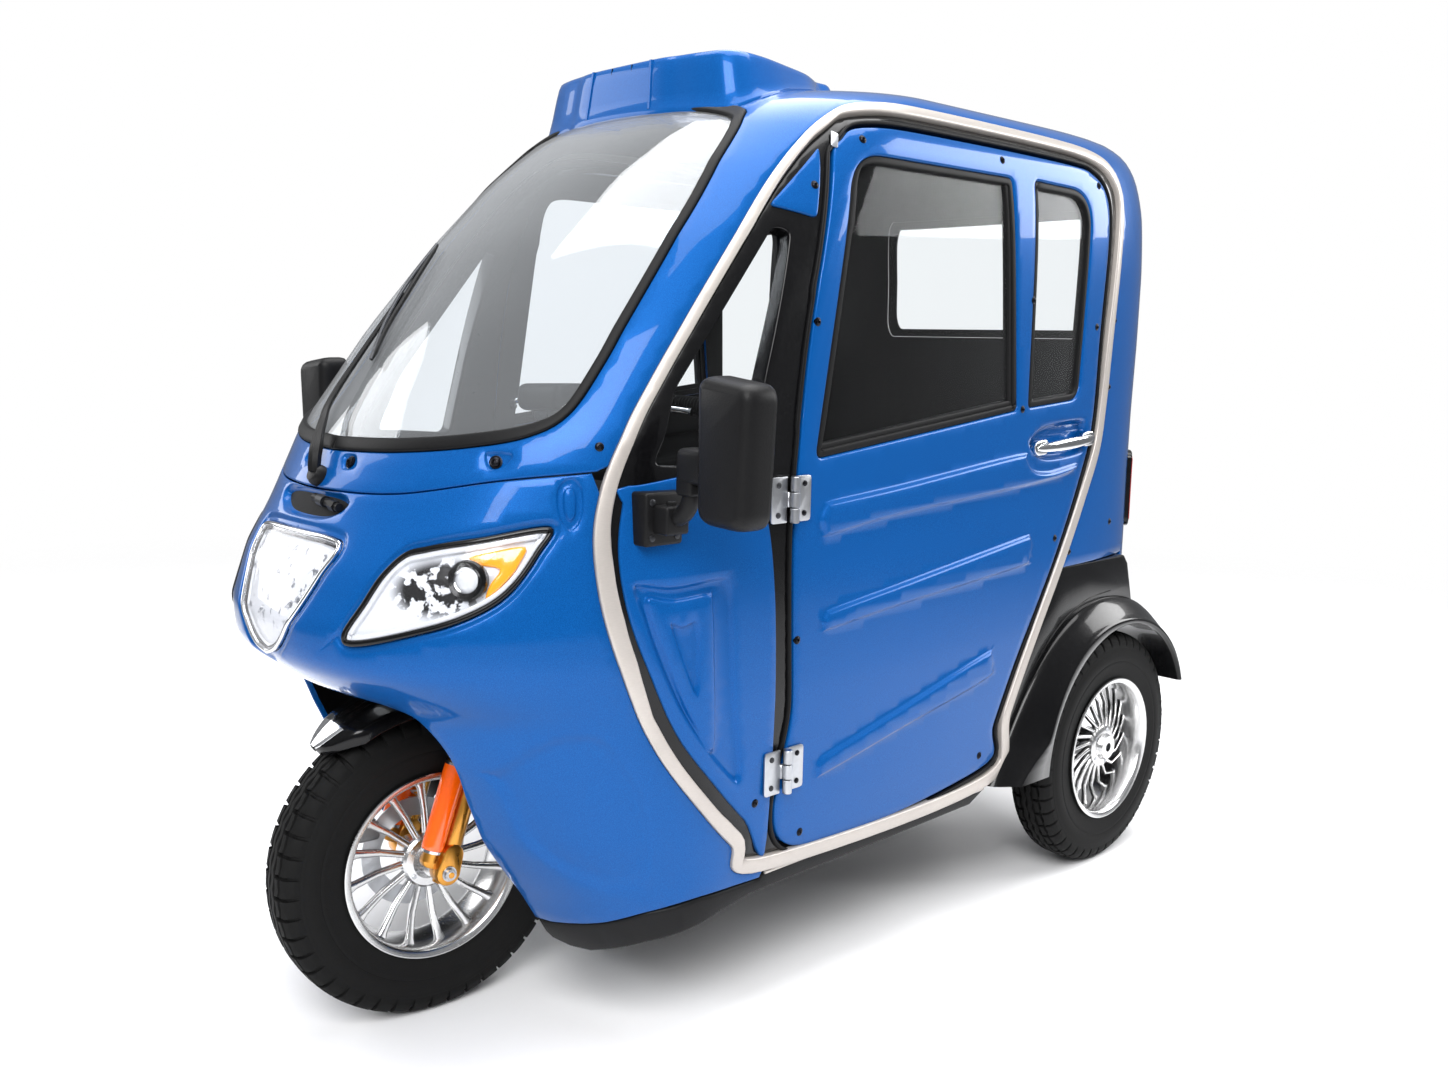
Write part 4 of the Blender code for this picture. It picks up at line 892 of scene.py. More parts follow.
outer_edge, inner_edge = screen_half(0.0008), screen_half(0.021)
gasket = list(outer_edge) + line(outer_edge[-1] - (0, 0.004), inner_edge[-1])
gasket += list(inner_edge[::-1]) + line(inner_edge[0] - (0, 0.004), outer_edge[0])
GASKET = {"thick": 0.012, "proud": 0.003, "roll": 0.004, "mirror": True}
SCREEN_PANE = {"thick": 0.005, "proud": -0.003, "roll": 0.0, "step": 0.03, "mirror": True}
panel("screen_gasket", gasket, SEAL, **GASKET)
glass_edge = screen_half(0.010)
glass_edge = list(glass_edge) + line(glass_edge[-1] - (0, 0.01), glass_edge[0], 0.03)
panel("screen_glass", glass_edge, SCREEN_GLASS, replaces="windshield", **SCREEN_PANE)
ring = [np.array(p) for p in back_window(0.0008)]
ring += line(ring[-1] - (0, 0.004), (S_BACK, BACK_HIGH - 0.022))
ring += [np.array(p) for p in back_window(0.020)][::-1]
ring += line((S_BACK, BACK_LOW + 0.016), (S_BACK, BACK_LOW + 0.002))
panel("back_gasket", ring, SEAL, **GASKET)
rear = [np.array(p) for p in back_window(0.010)]
rear += line((S_BACK, BACK_HIGH - 0.02), (S_BACK, BACK_LOW + 0.012), 0.03)
panel("back_glass", rear, SIDE_GLASS, replaces="rear_window", **SCREEN_PANE)

# %% [markdown]
# ## Lamps
# A headlamp is a clear lens over a bright bowl. The bowl here is a pressed-in patch of the
# same skin, with a black bezel round it, a projector in it and an amber corner for the turn
# signal. The lens is another patch, so it follows the nose exactly.


# %% Turned pieces
def basis(axis):
    """Two directions across an axis."""
    axis = np.array(axis, float) / np.linalg.norm(axis)
    side = np.cross(axis, (0.0, 0.0, 1.0) if abs(axis[2]) < 0.9 else (1.0, 0.0, 0.0))
    side /= np.linalg.norm(side)
    return axis, side, np.cross(axis, side)


def turned(name, profile, centre, axis, material, steps=48, smooth=35.0, closed=True):
    """A body turned about an axis from (along, radius) pairs; a closed profile is a ring."""
    axis, side, other = basis(axis)
    centre = np.array(centre, float)
    points, faces = [], []
    for k in range(steps):
        a = 2.0 * math.pi * k / steps
        way = side * math.cos(a) + other * math.sin(a)
        points += [centre + axis * s + way * r for s, r in profile]
    n = len(profile)
    for k in range(steps):
        a, b = k * n, (k + 1) % steps * n
        for i in range(n if closed else n - 1):
            j = (i + 1) % n
            faces.append((a + i, b + i, b + j, a + j))
    return cleaned(mesh_object(name, points, faces, material, smooth), smooth)


def knob(name, rows, centre, axis, material, steps=48, smooth=35.0):
    """A turned body with flat ends on its axis."""
    rows = [(rows[0][0], 0.0), *rows, (rows[-1][0], 0.0)]
    return turned(name, rows, centre, axis, material, steps, smooth, closed=False)


def joined(name, items, body=None):
    """Joins pieces into one object that rides on a body, and keeps each one's material."""
    bm = bmesh.new()
    materials = []
    for item in items:
        mesh = item.data
        index = []
        for material in mesh.materials:
            if material not in materials:
                materials.append(material)
            index.append(materials.index(material))
        start = len(bm.faces)
        bm.from_mesh(mesh)
        bm.faces.ensure_lookup_table()
        for face in bm.faces[start:]:
            face.material_index = index[face.material_index] if index else 0
        bpy.data.objects.remove(item, do_unlink=True)
        bpy.data.meshes.remove(mesh)
    mesh = bpy.data.meshes.new(name)
    bm.to_mesh(mesh)
    bm.free()
    for material in materials:
        mesh.materials.append(material)
    whole = placed(name, mesh)
    if body:
        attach(whole, body)
    return whole


def spot_at(s, v, depth=0.0):
    """A point of the skin, moved inwards by a depth, and the outward normal there."""
    base, n = skin(np.array([s]), np.array([v])), normals(np.array([s]), np.array([v]))
    return base[0] - n[0] * depth, n[0]


# %% Headlamps
def make_facets_with_painted_reflections(name, centre, reach, dark, low, high):
    """A pressed reflector: bright, with painted dark reflections in noise patches round a centre.
    """
    material, tree, shader = finish_of(name, Coat_Weight=0.5, Coat_Roughness=0.05)
    where, (x, y, z) = tree.place()
    across = (x * x) ** 0.5 - centre[0]
    above = (z - centre[1]) * 1.3
    near = 1.0 - ((across * across + above * above) ** 0.5).ramp(reach * 0.6, reach)
    # Painted reflection: the dark colour in noise patches near the centre stands in for dark
    # things that the reflector mirrors.
    patch = tree.noise(52.0, 3.0, 0.6, where).ramp(low, high) * near
    tree.surface(shader, tree.mix(patch, rgb(216, 219, 223), dark), 0.12 + patch * 0.1,
                 tree.bump(patch, 0.5, 0.0012))
    return material


FACETS = make_facets_with_painted_reflections("headlamp_facets_painted_reflections", (0.286, 0.786), 0.062, rgb(10, 10, 11), 0.46, 0.52)
SOFT_FACETS = make_facets_with_painted_reflections("centre_facets_painted_reflections", (0.030, 0.790), 0.130, rgb(96, 100, 106), 0.55, 0.66)

AMBER_PATCH = mm(312, 832, 334, 841, 361, 847, 361, 824, 358, 807, 350, 787, 341, 774, 342, 795,
                 346, 816, 326, 822)
PROJECTOR, STUD_DEPTH = (0.319, 0.800), 0.024
LAMP_STUDS = mm(275, 802, 260, 790, 287, 765, 268, 772, 304, 768)


def make_headlamp(name):
    rim = grow(headlight, -0.0008)
    bowl = panel("bowl", rim, FACETS, thick=0.003, proud=-0.006, roll=0.0, step=0.010,
                 stamps=[(grow(rim, -0.014), -0.026, 0.016)])
    band = panel("band", grow(rim, -0.0085), BRIGHT, holes=[grow(rim, -0.0165)], thick=0.006,
                 proud=-0.0015, roll=0.002)
    bezel = panel("bezel", rim, GLOSS_BLACK, holes=[grow(rim, -0.0085)], thick=0.012,
                  proud=0.002, roll=0.003)
    amber = panel("amber", front_pairs(curve_through(AMBER_PATCH, step=0.006)), AMBER,
                  thick=0.010, proud=-0.003, roll=0.004)
    spot, n = spot_at(*at_front(*PROJECTOR))
    way = n * 0.8 + np.array([0.0, -0.35, 0.0])
    way /= np.linalg.norm(way)
    back = spot - way * 0.0145
    barrel = knob("barrel", mm(-12, 27.5, 10, 29.5, 13, 26.5, 10, 18.5, 8, 18.5), back, way,
                  GLOSS_BLACK)
    ball = turned("ball", mm(5, 18.5, 12, 16.5, 17, 11, 19.5, 0), back, way, PEARL, closed=False)
    ring = turned("ring", mm(9, 19.5, 12.5, 18.5, 11.5, 16.5, 8, 18), back, way, CHROME)
    studs = [knob("stud", [(-0.006, 0.0085), (0.007, 0.0070), (0.010, 0.004)],
                  *spot_at(*at_front(x, z), STUD_DEPTH), (GLOSS_BLACK, DARK_ALLOY)[k % 2], 24)
             for k, (x, z) in enumerate(LAMP_STUDS)]
    return joined(name, [bowl, band, bezel, amber, barrel, ball, ring] + studs)


side_pair("headlamp", make_headlamp, "body", "headlight")
panel_pair("headlamp_lens", grow(headlight, -0.008), LENS, thick=0.002, proud=0.001, roll=0.0,
           step=0.02)

# %% Centre lamp
print("centre lamp outline", len(lamp_edge))


def centre_patch(name, inset, material, proud, thick, depth=0.0, roll=0.0, hole=None):
    """A patch or a ring inside the centre lamp's edge, pressed in by a depth."""
    outer = grow(lamp_edge, -inset)
    holes = [grow(lamp_edge, -hole)] if hole else []
    stamps = [(grow(outer, -0.010), depth, 0.020)] if depth else []
    return panel(name, outer, material, holes=holes, thick=thick, proud=proud, roll=roll,
                 step=0.012, stamps=stamps, body="body")


centre_patch("centre_bowl", 0.001, SOFT_FACETS, -0.006, 0.003, -0.026)
centre_patch("centre_bezel", 0.001, CHROME, 0.001, 0.010, roll=0.003, hole=0.008)
centre_patch("centre_band", 0.009, GLOSS_BLACK, -0.004, 0.003, roll=0.001, hole=0.012)
lens = centre_patch("centre_lens", 0.007, LENS, 0.001, 0.002)
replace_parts(lens, "centre_light")

# %% Tail lamps
TAIL = mm(302, 738, 302, 912, 383, 912, 383, 738)
tail_edge = np.array([at_back(x, z) for x, z in rounded(TAIL, 0.018, 0.006)])
ring_pair("tail_housing", tail_edge, 0.007, GLOSS_BLACK, thick=0.010, proud=0.010, roll=0.003)
panel_pair("tail_lens", grow(tail_edge, -0.0072), RED, "body", "tail_light", thick=0.010,
           proud=0.012, roll=0.006)

# %% [markdown]
# ## Copies by Geometry Nodes
# Spokes, tread blocks and bolts repeat round an axis, and screws repeat over the panels. Two
# small trees do this: one turns copies of its own piece about Z, the other sets a piece on
# every point of a mesh, facing along a stored direction.


# %% Copy trees
def new_tree(name, inputs):
    """A Geometry Nodes tree with named inputs after its geometry."""
    group = bpy.data.node_groups.new(name, "GeometryNodeTree")
    group.interface.new_socket("Piece", in_out="INPUT", socket_type="NodeSocketGeometry")
    for label, kind in inputs:
        group.interface.new_socket(label, in_out="INPUT", socket_type="NodeSocket" + kind)
    group.interface.new_socket("Made", in_out="OUTPUT", socket_type="NodeSocketGeometry")
    tree = Tree(group)
    source = group.nodes.new("NodeGroupInput")
    return group, tree, [S(tree, socket) for socket in source.outputs[:-1]]


def end_tree(group, tree, made, material):
    """Real geometry with its material, as the export needs it."""
    real = tree.add("GeometryNodeRealizeInstances", None, {0: made})
    done = tree.add("GeometryNodeSetMaterial", None, {"Geometry": real, "Material": material})
    tree.put(group.nodes.new("NodeGroupOutput").inputs[0], done)
    return group


def round_tree():
    group, tree, (piece, count, material) = new_tree(
        "copies_round", (("Count", "Int"), ("Material", "Material")))
    spots = tree.add("GeometryNodeMeshLine", None, {"Count": count, "Offset": (0.0, 0.0, 0.0)})
    turn = tree.add("GeometryNodeInputIndex") * (2.0 * math.pi) / count
    angles = tree.add("ShaderNodeCombineXYZ", None, {"Z": turn})
    way = tree.add("FunctionNodeEulerToRotation", None, {0: angles})
    copies = tree.add("GeometryNodeInstanceOnPoints", None,
                      {"Points": spots, "Instance": piece, "Rotation": way})
    return end_tree(group, tree, copies, material)


def spots_tree():
    group, tree, (spots, piece, size, material) = new_tree(
        "copies_on_spots", (("Copied", "Object"), ("Size", "Float"), ("Material", "Material")))
    info = tree.add("GeometryNodeObjectInfo", None, {"Object": piece}, out="Geometry")
    facing = tree.add("GeometryNodeInputNamedAttribute", {"data_type": "FLOAT_VECTOR"},
                      {"Name": "facing"})
    way = tree.add("FunctionNodeAlignRotationToVector", {"axis": "Z"}, {"Vector": facing})
    copies = tree.add("GeometryNodeInstanceOnPoints", None,
                      {"Points": spots, "Instance": info, "Rotation": way, "Scale": size})
    return end_tree(group, tree, copies, material)


def baked(item):
    """The mesh that an object's modifiers make; they are taken off."""
    graph = bpy.context.evaluated_depsgraph_get()
    mesh = bpy.data.meshes.new_from_object(item.evaluated_get(graph))
    item.modifiers.clear()
    return mesh


def run_tree(item, group, smooth=35.0, **values):
    """Runs a tree on an object and keeps the result as its plain mesh."""
    modifier = item.modifiers.new("made", "NODES")
    modifier.node_group = group
    for socket in group.interface.items_tree:
        if socket.in_out == "INPUT" and socket.name in values:
            modifier[socket.identifier] = values[socket.name]
    bpy.context.view_layer.update()
    item.data = baked(item)
    smoothed(item.data, smooth)
    return item


ROUND, SPOTS = round_tree(), spots_tree()


def copies_round(item, count, material, smooth=35.0):
    """Copies of a piece about the X axis; the tree itself turns about Z."""
    to_z = Matrix(((0, 1, 0, 0), (0, 0, 1, 0), (1, 0, 0, 0), (0, 0, 0, 1)))
    item.data.transform(to_z)
    run_tree(item, ROUND, smooth, Count=count, Material=material)
    item.data.transform(to_z.inverted())
    return item


def on_spots(name, piece, spots, facing, size, material, body):
    """A piece set on each spot; it rides on a body as one object."""
    mesh = bpy.data.meshes.new(name)
    mesh.from_pydata([tuple(p) for p in spots], [], [])
    layer = mesh.attributes.new("facing", "FLOAT_VECTOR", "POINT")
    layer.data.foreach_set("vector", np.array(facing, dtype=float).ravel())
    item = placed(name, mesh)
    run_tree(item, SPOTS, 30.0, Copied=piece, Size=size, Material=material)
    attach(item, body)
    return item


def moved(item, matrix):
    item.data.transform(matrix)
    return item


# %% [markdown]
# ## Wheels
# A tyre is a turned carcass with a block tread on it. The blocks come from outlines in a pitch
# of the tread, stood on the crown's curve, and one tree copies the pitch round. The rims are
# polished alloy with a deep lip; the front one has flat straight spokes, the rear ones thin
# curved spokes and a hub that stands out.

# %% Lofts
def loft(name, rows, material, smooth=35.0, caps=True):
    """A closed body through successive closed rows of points."""
    points = [tuple(p) for row in rows for p in row]
    n = len(rows[0])
    faces = [(k * n + i, k * n + (i + 1) % n, (k + 1) * n + (i + 1) % n, (k + 1) * n + i)
             for k in range(len(rows) - 1) for i in range(n)]
    if caps:
        faces += [tuple(range(n))[::-1], tuple(range((len(rows) - 1) * n, len(rows) * n))]
    return cleaned(mesh_object(name, points, faces, material, smooth), smooth)


# %% Tyre
TYRE_R, TYRE_HALF = 0.260, 0.051
AXLE_LINE = ((0, 0, 0), (1, 0, 0))
CROWN = mm(0, 260, 20, 259, 32, 256.5, 38, 253, 43, 247.5, 47.5, 237, 50, 225)
TREAD_DEPTH, PITCHES = 0.0065, 46
TREAD_FOOT = -TREAD_DEPTH - 0.001
KNUCKLE = ((0.08, 0.0158), (0.55, 0.0186), (0.97, 0.0158), (0.93, 0.0262), (0.72, 0.0290),
           (0.40, 0.0275), (0.12, 0.0262))
SHOULDER = ((0.06, 0.0312), (0.50, 0.0324), (0.95, 0.0306), (0.97, 0.0395), (0.93, 0.0478),
            (0.08, 0.0478), (0.10, 0.0395))


def crown(x):
    return np.interp(abs(x), [c[0] for c in CROWN], [c[1] for c in CROWN])


def tread_block(outline, pitch):
    """A closed block on the crown from (share of a pitch, x) points, sides leaning in."""
    dense = []
    for a, b in zip(outline, outline[1:] + outline[:1]):
        parts = 2 if abs(a[1] - b[1]) > 0.006 else 1
        dense += [(a[0] + (b[0] - a[0]) * k / parts, a[1] + (b[1] - a[1]) * k / parts)
                  for k in range(parts)]
    mid = (sum(p[0] for p in dense) / len(dense), sum(p[1] for p in dense) / len(dense))
    points = []
    for shrink, lift in ((1.0, TREAD_FOOT), (0.94, -0.0008), (0.88, 0.0)):
        for t, x in dense:
            x2 = mid[1] + (x - mid[1]) * shrink
            a = (mid[0] + (t - mid[0]) * shrink) * pitch
            r = crown(x2) + lift
            points.append((x2, r * math.cos(a), r * math.sin(a)))
    n = len(dense)
    r = crown(mid[1])
    points.append((mid[1], r * math.cos(mid[0] * pitch), r * math.sin(mid[0] * pitch)))
    faces = [(k + i, k + (i + 1) % n, k + n + (i + 1) % n, k + n + i)
             for k in (0, n) for i in range(n)]
    faces += [(2 * n + i, 2 * n + (i + 1) % n, 3 * n) for i in range(n)]
    faces.append(tuple(range(n))[::-1])
    return points, faces


def rib_ring(name, middle, wide, sway, shift=0):
    """A zigzag rib all the way round."""
    shape = ((-0.5, TREAD_FOOT), (-0.5, -0.0012), (-0.42, 0.0), (0.42, 0.0), (0.5, -0.0012),
             (0.5, TREAD_FOOT))
    rows = []
    for k in range(PITCHES * 4 + 1):
        a = 2.0 * math.pi * k / (PITCHES * 4)
        x = middle + sway * (0.0, 1.0, 0.0, -1.0)[(k + shift) % 4]
        places = [(x + u * wide, crown(x + u * wide) + lift) for u, lift in shape]
        rows.append([(across, r * math.cos(a), r * math.sin(a)) for across, r in places])
    return loft(name, rows, TYRE, caps=False)


def make_tread(name):
    """Blocks in one pitch of tread, copied round: knuckled middle blocks and shoulders."""
    points, faces = [], []
    for side, outline in ((s, o) for s in (1, -1) for o in (KNUCKLE, SHOULDER)):
        more, shape = tread_block([(t, side * x) for t, x in outline], 2.0 * math.pi / PITCHES)
        faces += [tuple(i + len(points) for i in f) for f in shape]
        points += more
    item = cleaned(mesh_object(name, points, faces, TYRE), 40.0, weld=None)
    return copies_round(item, PITCHES, TYRE)


def make_tyre(name):
    """A carcass from its half profile, with blocks and two zigzag ribs on its crown."""
    h = TYRE_HALF
    half = [(0.0, TYRE_R - TREAD_DEPTH), (0.020, 0.2590 - TREAD_DEPTH), (0.034, 0.2490),
            (0.0405, 0.2440), (0.0445, 0.2360), (0.0480, 0.2280), (0.0492, 0.2240),
            (0.0492, 0.2215), (0.0504, 0.2190), (0.0509, 0.2080), (0.0509, 0.1985),
            (0.0500, 0.1965), (0.0507, 0.1945), (0.0500, 0.1900), (0.0492, 0.1860),
            (0.0485, 0.1800), (0.0470, 0.1720), (h - 0.0045, 0.1660), (h - 0.0050, 0.1625),
            (h - 0.0060, 0.1570), (h - 0.0075, 0.1520)]
    profile = [(-x, r) for x, r in half[:0:-1]] + half
    carcass = turned("carcass", profile, *AXLE_LINE, TYRE, steps=128)
    ribs = [rib_ring("rib", side * 0.0070, 0.0100, 0.0024, shift)
            for side, shift in ((1, 0), (-1, 1))]
    return joined(name, [carcass, make_tread("tread")] + ribs)


def triangles(item):
    return sum(len(p.vertices) - 2 for p in item.data.polygons)


tyre = make_tyre("tyre_master")
print("tyre triangles", triangles(tyre))


# %% Rims
def rounded_bar(wide, deep, corner=0.3, steps=3):
    """The outline of a bar's cross section with rounded corners."""
    r = corner * min(wide, deep)
    out = []
    for k, (sx, sy) in enumerate(((1, 1), (-1, 1), (-1, -1), (1, -1))):
        for j in range(steps + 1):
            a = math.pi / 2 * (k + j / steps)
            out.append((sx * (wide / 2 - r) + r * math.cos(a),
                        sy * (deep / 2 - r) + r * math.sin(a)))
    return out


def spoke(name, table, curve):
    """A spoke along a radius from rows of share, out, width and depth, bent by an angle."""
    rows = []
    for share, out, wide, deep in table:
        radius = SPOKE_FOOT + (SPOKE_TIP - SPOKE_FOOT) * share
        angle = curve * share ** 1.4
        sine, cosine = math.sin(angle), math.cos(angle)
        rows.append([(out - deep / 2 + b, radius * cosine - a * sine, radius * sine + a * cosine)
                     for a, b in rounded_bar(wide, deep, 0.42)])
    return loft(name, rows, ALLOY)


SPOKE_FOOT, SPOKE_TIP = 0.034, 0.1475
RIM_HALF = ((0.0, 0.1455), (0.0300, 0.1450), (0.0380, 0.1475), (0.0440, 0.1500), (0.0468, 0.1528),
            (0.0480, 0.1572), (0.0500, 0.1588), (0.0520, 0.1584), (0.0526, 0.1565),
            (0.0518, 0.1540), (0.0505, 0.1500), (0.0485, 0.1470), (0.0440, 0.1445),
            (0.0380, 0.1430), (0.0300, 0.1405), (0.0, 0.1400))


def make_rim(count, spoke_table, curve, hub):
    """A rim's ring, its spokes and its hub."""
    half = list(RIM_HALF)
    ring = turned("ring", half + [(-x, r) for x, r in half[-2:0:-1]], *AXLE_LINE, ALLOY, steps=96)
    spokes = copies_round(spoke("spoke", spoke_table, curve), count, ALLOY)
    return [ring, spokes, turned("hub", hub, *AXLE_LINE, ALLOY, steps=64)]


def bolt_ring(radius, out, count, size):
    """Hexagon bolts round a hub, facing out."""
    head = turned("bolt", [(0.0, size), (0.45 * size, size), (0.6 * size, 0.85 * size),
                           (0.6 * size, 0.0), (0.0, 0.0)], (out, radius, 0.0), (1, 0, 0), ZINC,
                  steps=6, smooth=20.0)
    return copies_round(head, count, ZINC, 20.0)


FRONT_SPOKE = ((0.0, 0.020, 0.015, 0.016), (0.12, 0.021, 0.0100, 0.015),
               (0.50, 0.024, 0.0110, 0.014), (0.85, 0.030, 0.0140, 0.013),
               (1.0, 0.034, 0.022, 0.015))
front_parts = make_rim(16, FRONT_SPOKE, 0.10, [
    (-0.045, 0.0101), (-0.045, 0.030), (-0.030, 0.036), (-0.004, 0.040), (0.010, 0.046),
    (0.022, 0.046), (0.026, 0.042), (0.027, 0.030), (0.036, 0.024), (0.0455, 0.021),
    (0.046, 0.0101)])
front_parts.append(bolt_ring(0.036, 0.0265, 5, 0.0042))
BRAKE_DISC = mm(-40, 94, -37, 94, -37, 62, -40, 62)
front_parts.append(turned("disc", BRAKE_DISC, *AXLE_LINE, ZINC, steps=72))
REAR_SPOKE = ((0.0, 0.030, 0.012, 0.016), (0.15, 0.026, 0.008, 0.014),
              (0.55, 0.016, 0.0065, 0.011), (0.88, 0.008, 0.0075, 0.011),
              (1.0, 0.006, 0.013, 0.014))
rear_parts = make_rim(20, REAR_SPOKE, 0.62, mm(-45, 10.1, -45, 34, 12, 36, 20, 46, 31, 46,
                                               34, 41, 34.5, 30, 46, 26, 46, 10.1))
rear_parts.append(bolt_ring(0.038, 0.0325, 5, 0.0045))

# %% Wheels in place
RAKE, REST_TURN = math.radians(20.0), math.radians(-6.0)
STEER_BASE = Vector((0.0, -0.700, 0.260))
STEER_DIR = Vector((0.0, math.sin(RAKE), math.cos(RAKE)))
REST = (Matrix.Translation(STEER_BASE) @ Matrix.Rotation(REST_TURN, 4, STEER_DIR)
        @ Matrix.Translation(-STEER_BASE))
FRONT_AXLE, REAR_AXLE = Vector((0.0, -0.729, 0.260)), Vector((0.408, 0.729, 0.260))
front_place = REST @ Matrix.Translation(FRONT_AXLE)
front_tyre = placed("front_tyre_skin", tyre.data.copy())
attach(moved(front_tyre, front_place), "front_wheel")
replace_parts(front_tyre, "front_tyre")
front_rim = moved(joined("front_rim_skin", front_parts, "front_wheel"), front_place)
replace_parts(front_rim, "front_rim")
tyre.name = "rear_tyre_skin_l"
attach(moved(tyre, Matrix.Translation(REAR_AXLE)), "rear_wheel_left")
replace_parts(tyre, "rear_left_tyre")
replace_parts(twin(tyre, "rear_tyre_skin_r", "rear_wheel_right"), "rear_right_tyre")
rear_rim = moved(joined("rear_rim_skin_l", rear_parts, "rear_wheel_left"),
                 Matrix.Translation(REAR_AXLE))
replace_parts(rear_rim, "rear_left_rim")
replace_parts(twin(rear_rim, "rear_rim_skin_r", "rear_wheel_right"), "rear_right_rim")
print("front rim triangles", triangles(front_rim))

# %% [markdown]
# ## Bars, blocks and plates
# Levers and struts are round bars along a bent path, housings are blocks with rounded edges,
# and brackets are plates cut from an outline. Three makers cover them all.

# %% Bars, blocks and plates
def tube(name, path, radius, material, sides=18, smooth=40.0):
    """A round bar along a path; radius is a number or (share, radius) rows."""
    p = [np.array(q, dtype=float) for q in path]
    steps = [np.linalg.norm(b - a) for a, b in zip(p, p[1:])]
    far = np.concatenate([[0.0], np.cumsum(steps)]) / sum(steps)
    rows, side = [], None
    for i, here in enumerate(p):
        before = here - p[i - 1] if i else p[1] - here
        after = p[i + 1] - here if i + 1 < len(p) else before
        along = before / np.linalg.norm(before) + after / np.linalg.norm(after)
        along /= np.linalg.norm(along)
        side = basis(along)[1] if side is None else side - along * (side @ along)
        side /= np.linalg.norm(side)
        other = np.cross(along, side)
        r = radius if np.isscalar(radius) else np.interp(far[i], *zip(*radius))
        rows.append([here + (side * math.cos(t) + other * math.sin(t)) * r
                     for t in np.linspace(0.0, 2.0 * math.pi, sides, endpoint=False)])
    return loft(name, rows, material, smooth)


def bent(points, step=0.006):
    return curve_through(points, closed=False, step=step)


def block(name, low, high, radius, material, steps=3):
    """A box with rounded edges."""
    bm = bmesh.new()
    bmesh.ops.create_cube(bm, size=1.0)
    for v in bm.verts:
        v.co = [low[i] + (v.co[i] + 0.5) * (high[i] - low[i]) for i in range(3)]
    bmesh.ops.bevel(bm, geom=bm.edges[:], offset=radius, segments=steps, profile=0.5,
                    affect="EDGES")
    item = mesh_object(name, [v.co for v in bm.verts],
                       [[v.index for v in f.verts] for f in bm.faces], material)
    bm.free()
    return item


def plate(name, outline, low, high, axis, material, edge=0.0015, smooth=40.0):
    """A plate with rounded rims, cut from an outline across an axis."""
    flat = np.array(outline, dtype=float)
    rows = []
    for level, inset in ((low, edge), (low + edge * 0.3, edge * 0.3), (low + edge, 0.0),
                         (high - edge, 0.0), (high - edge * 0.3, edge * 0.3), (high, edge)):
        rows.append(np.insert(grow(flat, -inset) if inset else flat, axis, level, axis=1))
    return loft(name, rows, material, smooth)


def capsule(a, b, r1, r2=None, steps=10):
    """The outline round two places with a radius at each."""
    a, b = np.array(a, float), np.array(b, float)
    way = math.atan2(*(b - a)[::-1])
    out = [b + (r2 or r1) * np.array([math.cos(way + t), math.sin(way + t)])
           for t in np.linspace(-math.pi / 2, math.pi / 2, steps)]
    return np.array(out + [a + r1 * np.array([math.cos(way + t), math.sin(way + t)])
                           for t in np.linspace(math.pi / 2, 1.5 * math.pi, steps)])


# %% [markdown]
# ## Fork, shocks and front fender
# The fork's legs are gold tubes that end in cast clamps round the axle. Ahead of each leg
# stands an orange damper with a short spring beside it. All of it is made standing straight
# and then turned by the steering's rest angle, as in the photo.

# %% Fork
DIR, CROWN_Z = np.array(STEER_DIR), 0.598
AXLE = np.array(FRONT_AXLE)
HUB = np.array(STEER_BASE) + DIR * (1.0 - 0.26) / DIR[2]
AHEAD = np.array([0.0, -DIR[2], DIR[1]])
LEG_X, SHOCK_AHEAD, COIL_TURNS = 0.082, 0.0336, 11


def steering_piece(name, items, *nodes):
    """Joins pieces made straight, turns them to rest and hands them to the steering."""
    whole = moved(joined(name, items, "steering"), REST)
    if nodes:
        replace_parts(whole, *nodes)
    return whole


def fork_side(side, tag):
    """One gold leg with its clamp round the axle, its arm to the shock and its nut."""
    way = np.array([side, 0.0, 0.0])
    at = AXLE + way * LEG_X
    leg = knob("leg" + tag, [(0.0, 0.0150), (0.012, 0.0160), (0.055, 0.0160), (0.058, 0.0150),
                             (0.066, 0.0150), (0.069, 0.0160), (0.24, 0.0160), (0.243, 0.0142),
                             (0.36, 0.0142)], at - DIR * 0.020, DIR, GOLD)
    clamp = plate("clamp" + tag, capsule(at[1:], (at + DIR * 0.030)[1:], 0.0215, 0.0185),
                  *sorted((side * 0.0665, side * 0.1000)), 0, GOLD, 0.004)
    shock = at + AHEAD * SHOCK_AHEAD
    arm = plate("arm" + tag, capsule((at + DIR * 0.010)[1:], (shock + DIR * 0.014)[1:], 0.0125),
                *sorted((side * 0.0700, side * 0.0880)), 0, GOLD, 0.003)
    nut = [knob("washer" + tag, [(0.0, 0.0125), (0.0018, 0.0125)], at + way * 0.0182, way, ZINC),
           knob("nut" + tag, [(0.0, 0.0095), (0.0062, 0.0095), (0.0075, 0.0080)],
                at + way * 0.0198, way, ZINC, 6, 20.0),
           knob("stud" + tag, [(0.0, 0.0052), (0.004, 0.0052), (0.0045, 0.0045)],
                at + way * 0.0235, way, GOLD, 18),
           turned("spacer" + tag, mm(0, 10.5, 0, 15, 16, 15, 18, 19, 18.5, 10.5),
                  at - way * 0.034, way, ZINC)]
    return [leg, clamp, arm] + nut


